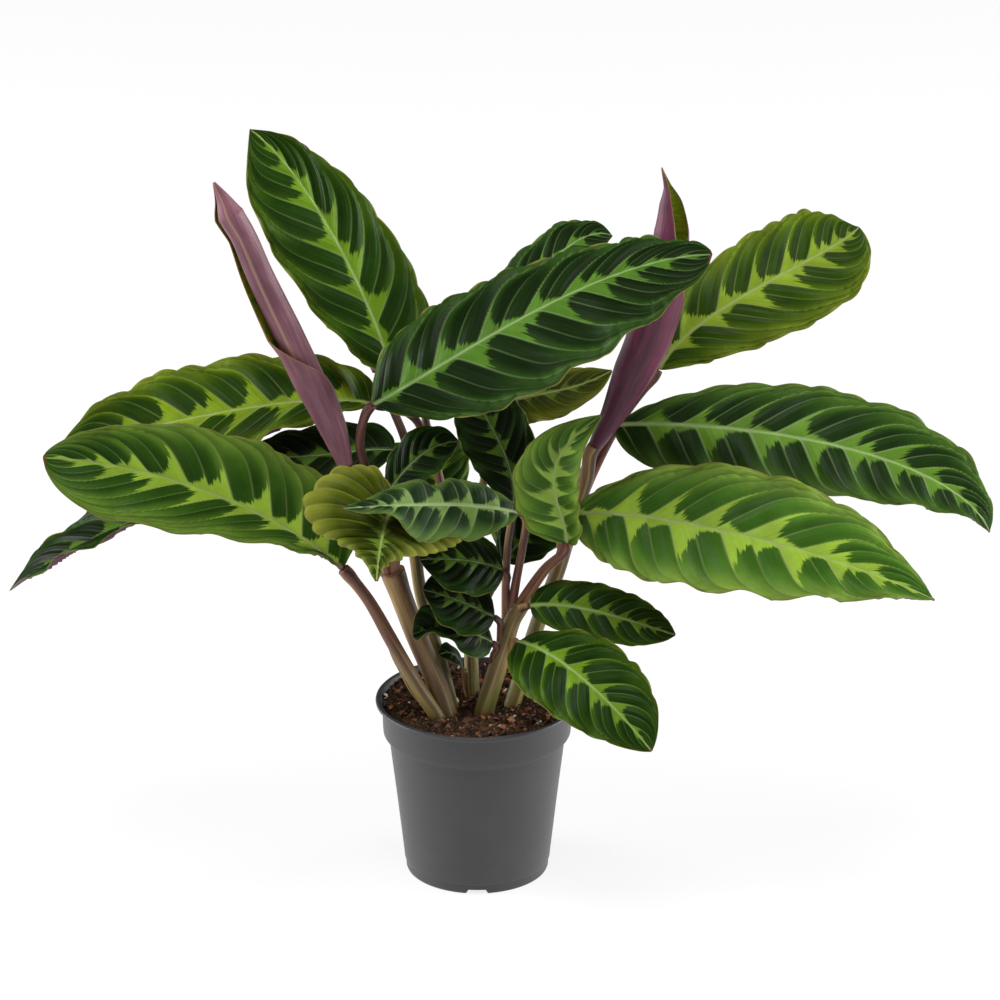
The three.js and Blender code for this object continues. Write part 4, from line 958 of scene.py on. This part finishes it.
def rolled_leaf(name, leaf, materials):
    """A sheet rolled round a curved axis. Going in from its outer edge by an angle b, it lies
    at seam - b round the axis, at radius times 1 - 0.18 b over a turn; the outer edge stands
    off by lift, which fades over a third of a turn. The turns grow fewer to the tip."""
    t = np.linspace(0, 1, 121)
    axis, along = curve_points(leaf["axis"], t)
    side, back = ring_axes(along)
    inward = np.linspace(0, 1, 73)[None, :]
    turned = inward * along_list(leaf["turns"], t)[:, None]
    angle = along_list(leaf["seam"], t)[:, None] - TURN * turned
    loose = along_list(leaf["lift"], t)[:, None] * np.exp(-(turned / 0.12) ** 2)
    streaks = 0.012 * np.sin(angle * 5 + 3 * t[:, None])
    radius = along_list(leaf["radius"], t)[:, None] * (1 - 0.18 * turned + loose + streaks)
    radius = np.maximum(radius, 0.5)
    grid = axis[:, None] + side[:, None] * (radius * np.cos(angle))[..., None]
    grid = grid + back[:, None] * (radius * np.sin(angle))[..., None]
    grid = grid[:, ::-1]
    points, faces, which = leafy(grid, 0.6)
    rows, cols = grid.shape[:2]
    index = faces % (rows * cols)
    skin = np.stack([np.broadcast_to(angle[:, ::-1] / TURN, (rows, cols)).ravel()[index],
                     np.broadcast_to(t[:, None] * 5, (rows, cols)).ravel()[index]], -1)
    turned = turned[:, ::-1]
    near = angle[:, ::-1] - along_list(leaf["rib"], t)[:, None]
    rib = leaf["line"] * np.exp(-(near / 0.09) ** 2) * np.ones_like(turned)
    edge = np.exp(-(turned / 0.012) ** 2) * 0.9
    dry = np.maximum(edge, smooth(0.955, 1.0, t)[:, None] * 0.9)
    values = {"rib": rib, "dry": np.broadcast_to(dry, (rows, cols))}
    values = {key: np.concatenate([v.ravel(), v.ravel()]) for key, v in values.items()}
    made = piece(name + "_roll", points, faces, materials, (which == 1).astype(int),
                 maps={"skin": skin}, values=values)
    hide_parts(name)
    return made


# ---------------------------------------------------------------- pot and soil
FOOT_RADIUS = 49.6
DRAINS = 3
DRAIN_DEPTH = 4.6
DRAIN_TOP = 4.8
SOIL_RADIUS = 64.6
SOIL_RIM = 124.6
SOIL_MOUND = 0.8
CHIPS = 2400
CHIPS_RADIUS = 65.0  # no corner of a chip reaches past this
CHIPS_TOP = 130.0  # nor above this
PALE_CHIPS = 0.07  # share of the chips that are dry and pale


def pot(plastic):
    """The pot as a profile carried round its axis: a = angle, p = place along the profile.
    At three places of the foot the radius drops by the depth of a drain slot, which is wider at
    the ground than at its top."""
    profile = np.array([
        [0, 1.2], [30, 1.2], [42, 1.2], [FOOT_RADIUS - 4, 1.0], [FOOT_RADIUS - 3.2, 0.1],
        [FOOT_RADIUS - 1.6, 0.0], [FOOT_RADIUS - 0.5, 0.4], [FOOT_RADIUS - 0.05, 1.4],
        [FOOT_RADIUS, 2.2], [FOOT_RADIUS, 3.2], [FOOT_RADIUS, 4.2], [FOOT_RADIUS, 4.6],
        [FOOT_RADIUS, 4.9], [FOOT_RADIUS, 5.2], [FOOT_RADIUS, 6.4], [FOOT_RADIUS + 0.1, 7.0],
        [FOOT_RADIUS + 0.8, 7.5], [FOOT_RADIUS + 1.05, 8.2], [51.2, 14], [53.2, 32], [55.4, 52],
        [57.5, 70], [59.4, 86], [60.7, 98], [60.95, 100.8], [61.4, 101.4], [63.4, 101.5],
        [64.3, 101.9], [64.75, 102.8], [65.0, 106], [65.25, 114], [65.5, 121.5], [65.8, 123.0],
        [67.2, 123.7], [69.2, 124.2], [69.85, 124.8], [70.0, 125.6], [69.8, 126.4], [69.2, 126.9],
        [68.4, 127.0], [67.3, 126.95], [66.6, 126.5], [65.2, 124.8], [64.1, 123.3], [63.6, 122.2],
        [63.3, 115], [62.9, 104.5], [62.2, 103.2], [59.4, 102.4], [54, 50], [48.8, 9], [47.8, 2.4],
        [30, 2.3], [0, 2.3]])
    angle = np.linspace(0, TURN, 480, endpoint=False)[None, :]
    r, z = profile[:, :1], profile[:, 1:]
    pitch = TURN / DRAINS
    off = np.abs((angle + math.pi / 2 + pitch / 2) % pitch - pitch / 2) * FOOT_RADIUS
    slot = smooth(7.6 - 0.25 * z, 7.0 - 0.25 * z, off) * (z < DRAIN_TOP)
    outside = (r > FOOT_RADIUS - 4.5) & (np.arange(len(profile))[:, None] < 14)
    r = r - DRAIN_DEPTH * slot * outside
    raised = outside & (slot > 0) & (r < FOOT_RADIUS - 4.4) & (z < 1.2)
    z = np.where(raised, 1.2 * slot + z * (1 - slot), z)
    grid = np.stack([r * np.cos(angle), r * np.sin(angle), z + 0 * angle], -1)
    rows, cols = grid.shape[:2]
    inner = grid[1:-1].reshape(-1, 3)
    first, last = len(inner), len(inner) + 1
    points = np.concatenate([inner, [[0, 0, profile[0, 1]], [0, 0, profile[-1, 1]]]])
    j = np.arange(cols)
    after = (j + 1) % cols
    foot = np.stack([after, j, np.full(cols, first)], -1)
    base = (rows - 3) * cols
    floor = np.stack([base + j, base + after, np.full(cols, last)], -1)
    faces = [quads(rows - 2, cols, wrap=True), np.concatenate([foot, floor])]
    made = piece("pot_shell", points, faces, [plastic])
    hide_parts("pot")
    return made


def soil_height(x, y):
    """Rim less 0.4, plus mound times the sine of the way in, plus two random reliefs: clods
    14 mm and crumbs 3.5 mm long."""
    inward = 1 - np.hypot(x, y) / SOIL_RADIUS
    mound = SOIL_MOUND * np.sin(math.pi / 2 * inward)
    return SOIL_RIM + mound - 0.4 + 1.1 * bumpy(x, y, 14, 3) + 0.8 * bumpy(x, y, 3.5, 4)


def soil(material):
    """Peat as a disc of rings at soil_height; its edge goes down the inside of the collar."""
    sides, rings = 300, 74
    angle = np.linspace(0, TURN, sides, endpoint=False)[None, :]
    inward = np.linspace(0, 1, rings + 1)[:-1, None]
    radius = SOIL_RADIUS * (1 - inward)
    x, y = radius * np.cos(angle), radius * np.sin(angle)
    top = np.stack([x, y, soil_height(x, y)], -1)
    wall = np.array([[44, 3.0], [50, 12], [58.5, 101], [62.3, 104], [62.9, 120], [63.2, 122.5]])
    out, up = wall[:, :1], wall[:, 1:]
    low = np.stack([out * np.cos(angle), out * np.sin(angle), up + 0 * angle], -1)
    grid = np.concatenate([low, top])
    rows = len(grid)
    points = np.concatenate([grid.reshape(-1, 3), [[0, 0, 3.0], [0, 0, SOIL_RIM + SOIL_MOUND]]])
    j = np.arange(sides)
    after = (j + 1) % sides
    foot = np.stack([after, j, np.full(sides, rows * sides)], -1)
    base = (rows - 1) * sides
    middle = np.stack([base + j, base + after, np.full(sides, rows * sides + 1)], -1)
    faces = [quads(rows, sides, wrap=True), np.concatenate([foot, middle])]
    made = piece("peat_fill", points, faces, [material])
    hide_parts("soil")
    return made


def chips(material):
    """Loose chips on the peat: each a flattened, skewed octahedron of 8 faces turned at random.
    The seeded draw gives its place, length, width, thickness and tint."""
    random = np.random.default_rng(12)
    count = CHIPS
    radius = (SOIL_RADIUS - 0.8) * np.sqrt(random.uniform(0, 1, count))
    angle = random.uniform(0, TURN, count)
    x, y = radius * np.cos(angle), radius * np.sin(angle)
    length = random.gamma(2.2, 0.55, count).clip(0.5, 5.0)
    width, thick = random.uniform(0.3, 0.8, count), random.uniform(0.12, 0.4, count)
    size = np.stack([length, length * width, length * thick], -1)
    corners = np.array([[1, 0, 0], [-1, 0, 0], [0, 1, 0], [0, -1, 0], [0, 0, 1], [0, 0, -1]], float)
    shape = corners * size[:, None] + random.normal(0, 0.16, (count, 6, 3)) * length[:, None, None]
    heading = random.uniform(0, TURN, count)
    lean, spin = random.normal(0, 0.5, count), random.normal(0, 0.5, count)
    for axis, turn in ((0, lean), (1, spin), (2, heading)):
        a, b = [k for k in range(3) if k != axis]
        c, s = np.cos(turn)[:, None], np.sin(turn)[:, None]
        shape[..., a], shape[..., b] = (shape[..., a] * c - shape[..., b] * s,
                                        shape[..., a] * s + shape[..., b] * c)
    shape += np.stack([x, y, soil_height(x, y) + 0.25 * length], -1)[:, None]
    reach = np.hypot(shape[..., 0], shape[..., 1])
    shape[..., :2] *= (np.minimum(reach, CHIPS_RADIUS) / reach)[..., None]
    shape[..., 2] = np.minimum(shape[..., 2], CHIPS_TOP)
    face = np.array([[0, 2, 4], [2, 1, 4], [1, 3, 4], [3, 0, 4],
                     [2, 0, 5], [1, 2, 5], [3, 1, 5], [0, 3, 5]])
    faces = (np.arange(count)[:, None, None] * 6 + face).reshape(-1, 3)
    tint = random.beta(1.5, 2.6, count)
    tint = np.clip(tint + (random.uniform(0, 1, count) > 1 - PALE_CHIPS) * 0.6, 0, 1)
    made = piece("soil_chips", shape.reshape(-1, 3), faces, [material],
                 values={"tint": np.repeat(tint, 6)}, sharp=True)
    return made


# ---------------------------------------------------------------- the whole plant
# the upper face: its name, the colours of dark lobes, green, margin, flames and ribs, between
# which shares of the half width the dark lobes fade, and how wide the flames' edges run out;
# the underside: its name, its colour and that of its ribs
FINISHES = {
    "deep": ("deep_green", "#1c3607 #3a6010 #506812 #688c1e #88a456", (0.65, 1.25), 0.02,
             "plum", "#6b4250", "#9a7a78"),
    "cool": ("cool_green", "#132508 #294a14 #446428 #4f7722 #7a965a", (0.65, 1.25), 0.02,
             "dark_plum", "#623a48", "#8f706c"),
    "mild": ("mild_green", "#1c3210 #3c621c #56762c #66902c #9ab676", (0.5, 1.15), 0.03,
             "mild_plum", "#623a48", "#8f706c"),
    "soft": ("soft_green", "#3a5c1c #5e822a #769236 #88a644 #9aac6c", (0.4, 1.0), 0.06,
             "soft_plum", "#7a4a58", "#a08074"),
    "fresh": ("fresh_green", "#26460f #44681c #6a8630 #90b038 #90a45a", (0.35, 1.0), 0.02,
              "rosy_plum", "#7a4a58", "#a08074"),
    "bright": ("bright_green", "#345a17 #54802a #7c963c #96b83c #9cb064", (0.35, 1.0), 0.02,
               "rose", "#7a4a58", "#a08074"),
    "yellow": ("yellow_green", "#284205 #4e6c0e #728420 #88a42c #9aac5e", (0.45, 1.1), 0.02,
               "dull_plum", "#744856", "#a08074"),
    "moss": ("moss_green", "#1e3804 #48660a #6a7c1c #7c9820 #90a254", (0.5, 1.1), 0.02,
             "brown_plum", "#6c4450", "#947468"),
    "olive": ("young_olive", "#2e3a08 #4a5606 #8c9236 #5f7c22 #98a65c", (0.2, 0.75), 0.04,
              "young_plum", "#7a4a50", "#a08068"),
    "grey": ("grey_green", "#1d3218 #48652f #5c7838 #6f8c46 #a0b27c", (0.6, 1.05), 0.05,
             "grey_plum", "#6b4250", "#9a7a78"),
    "shade": ("shaded_green", "#0e1c05 #1e3c0c #2a4a12 #4a6a18 #46603a", (0.6, 1.15), 0.02,
              "shaded_plum", "#52303c", "#7a5c58"),
}
PALETTES = {}
for key, (upper, colours, fade, soft, under, plum, rib) in FINISHES.items():
    PALETTES[key] = (blade_upper("calathea_blade_upper_" + upper, *colours.split(), fade, soft),
                     blade_under("calathea_blade_underside_" + under, plum, rib))
for number, (name, leaf) in enumerate(LEAVES.items()):
    leaf_blade(name, leaf, 100 + number, PALETTES)
skin = stem_skin()
for number, (name, stems) in enumerate(SHOOTS.items()):
    shoot(name, stems, skin, 200 + 20 * number)
green_inside = rolled_inside()
rolled_leaf("spear_left", SPEARS["spear_left"],
            [rolled_skin("rolled_blade_rosy_plum", "#6e4250", "#8c5c68", "#512c3a"), green_inside])
rolled_leaf("spear_right", SPEARS["spear_right"],
            [rolled_skin("rolled_blade_deep_plum", "#521f36", "#6e2f4a", "#2c101d"), green_inside])
pot(pot_plastic())
soil(peat())
chips(coco_chips())


# ---------------------------------------------------------------- camera, floor and light
def plain(name, code, roughness):
    """A material of one colour."""
    material = bpy.data.materials.new(name)
    material.use_nodes = True
    shader = material.node_tree.nodes["Principled BSDF"]
    shader.inputs["Base Color"].default_value = linear(code)
    shader.inputs["Roughness"].default_value = roughness
    return material


def lamp(name, place, target, size, power):
    """A rectangular soft box at a place, turned to its target."""
    data = bpy.data.lights.new(name, "AREA")
    data.shape = "RECTANGLE"
    data.size, data.size_y = size
    data.energy = power
    made = bpy.data.objects.new(name, data)
    bpy.context.scene.collection.objects.link(made)
    made.location = place
    aim = np.array(target, float) - np.array(place, float)
    tilt = math.atan2(math.hypot(aim[0], aim[1]), -aim[2])
    made.rotation_euler = (tilt, 0, math.atan2(-aim[0], aim[1]))
    return made


SPAN = 30.0
FLOOR_GLOW = 0.82
PLANT_MIDDLE = (0, 0, 0.25)
LENS = 156.96
CAMERA_PLACE = (0.01586, -2.750, 1.351)
CAMERA_DOWN = 21.41  # degrees under the horizon
floor_mesh = bpy.data.meshes.new("floor")
floor_corners = [(-SPAN, -SPAN, 0), (SPAN, -SPAN, 0), (SPAN, SPAN, 0), (-SPAN, SPAN, 0)]
floor_mesh.from_pydata(floor_corners, [], [(0, 1, 2, 3)])
floor_paint = plain("pale_studio_floor", "#787878", 0.9)
floor_shader = floor_paint.node_tree.nodes["Principled BSDF"]
floor_shader.inputs["Emission Color"].default_value = (1, 1, 1, 1)
floor_shader.inputs["Emission Strength"].default_value = FLOOR_GLOW
floor_mesh.materials.append(floor_paint)
floor = bpy.data.objects.new("floor", floor_mesh)
bpy.context.scene.collection.objects.link(floor)

world = bpy.data.worlds.new("studio")
world.use_nodes = True
world.node_tree.nodes["Background"].inputs["Color"].default_value = (1, 1, 1, 1)
world.node_tree.nodes["Background"].inputs["Strength"].default_value = 0.1
bpy.context.scene.world = world
bpy.context.scene.view_settings.view_transform = "Standard"
lamp("softbox_top", (-0.3, -1.4, 4.3), PLANT_MIDDLE, (2.6, 2.0), 115)
lamp("softbox_front", (0.4, -2.7, 1.1), PLANT_MIDDLE, (1.6, 1.2), 3)
lamp("softbox_left", (-3.2, 0.55, 0.8), PLANT_MIDDLE, (2.2, 2.6), 156)
lamp("softbox_right", (3.2, 0.55, 0.8), PLANT_MIDDLE, (2.2, 2.6), 156)

camera_data = bpy.data.cameras.new("camera")
camera_data.sensor_width = 36
camera_data.lens = LENS
camera_data.clip_end = 100
camera = bpy.data.objects.new("camera", camera_data)
camera.location = CAMERA_PLACE
camera.rotation_euler = (math.radians(90 - CAMERA_DOWN), 0, 0)
bpy.context.scene.collection.objects.link(camera)
bpy.context.scene.camera = camera
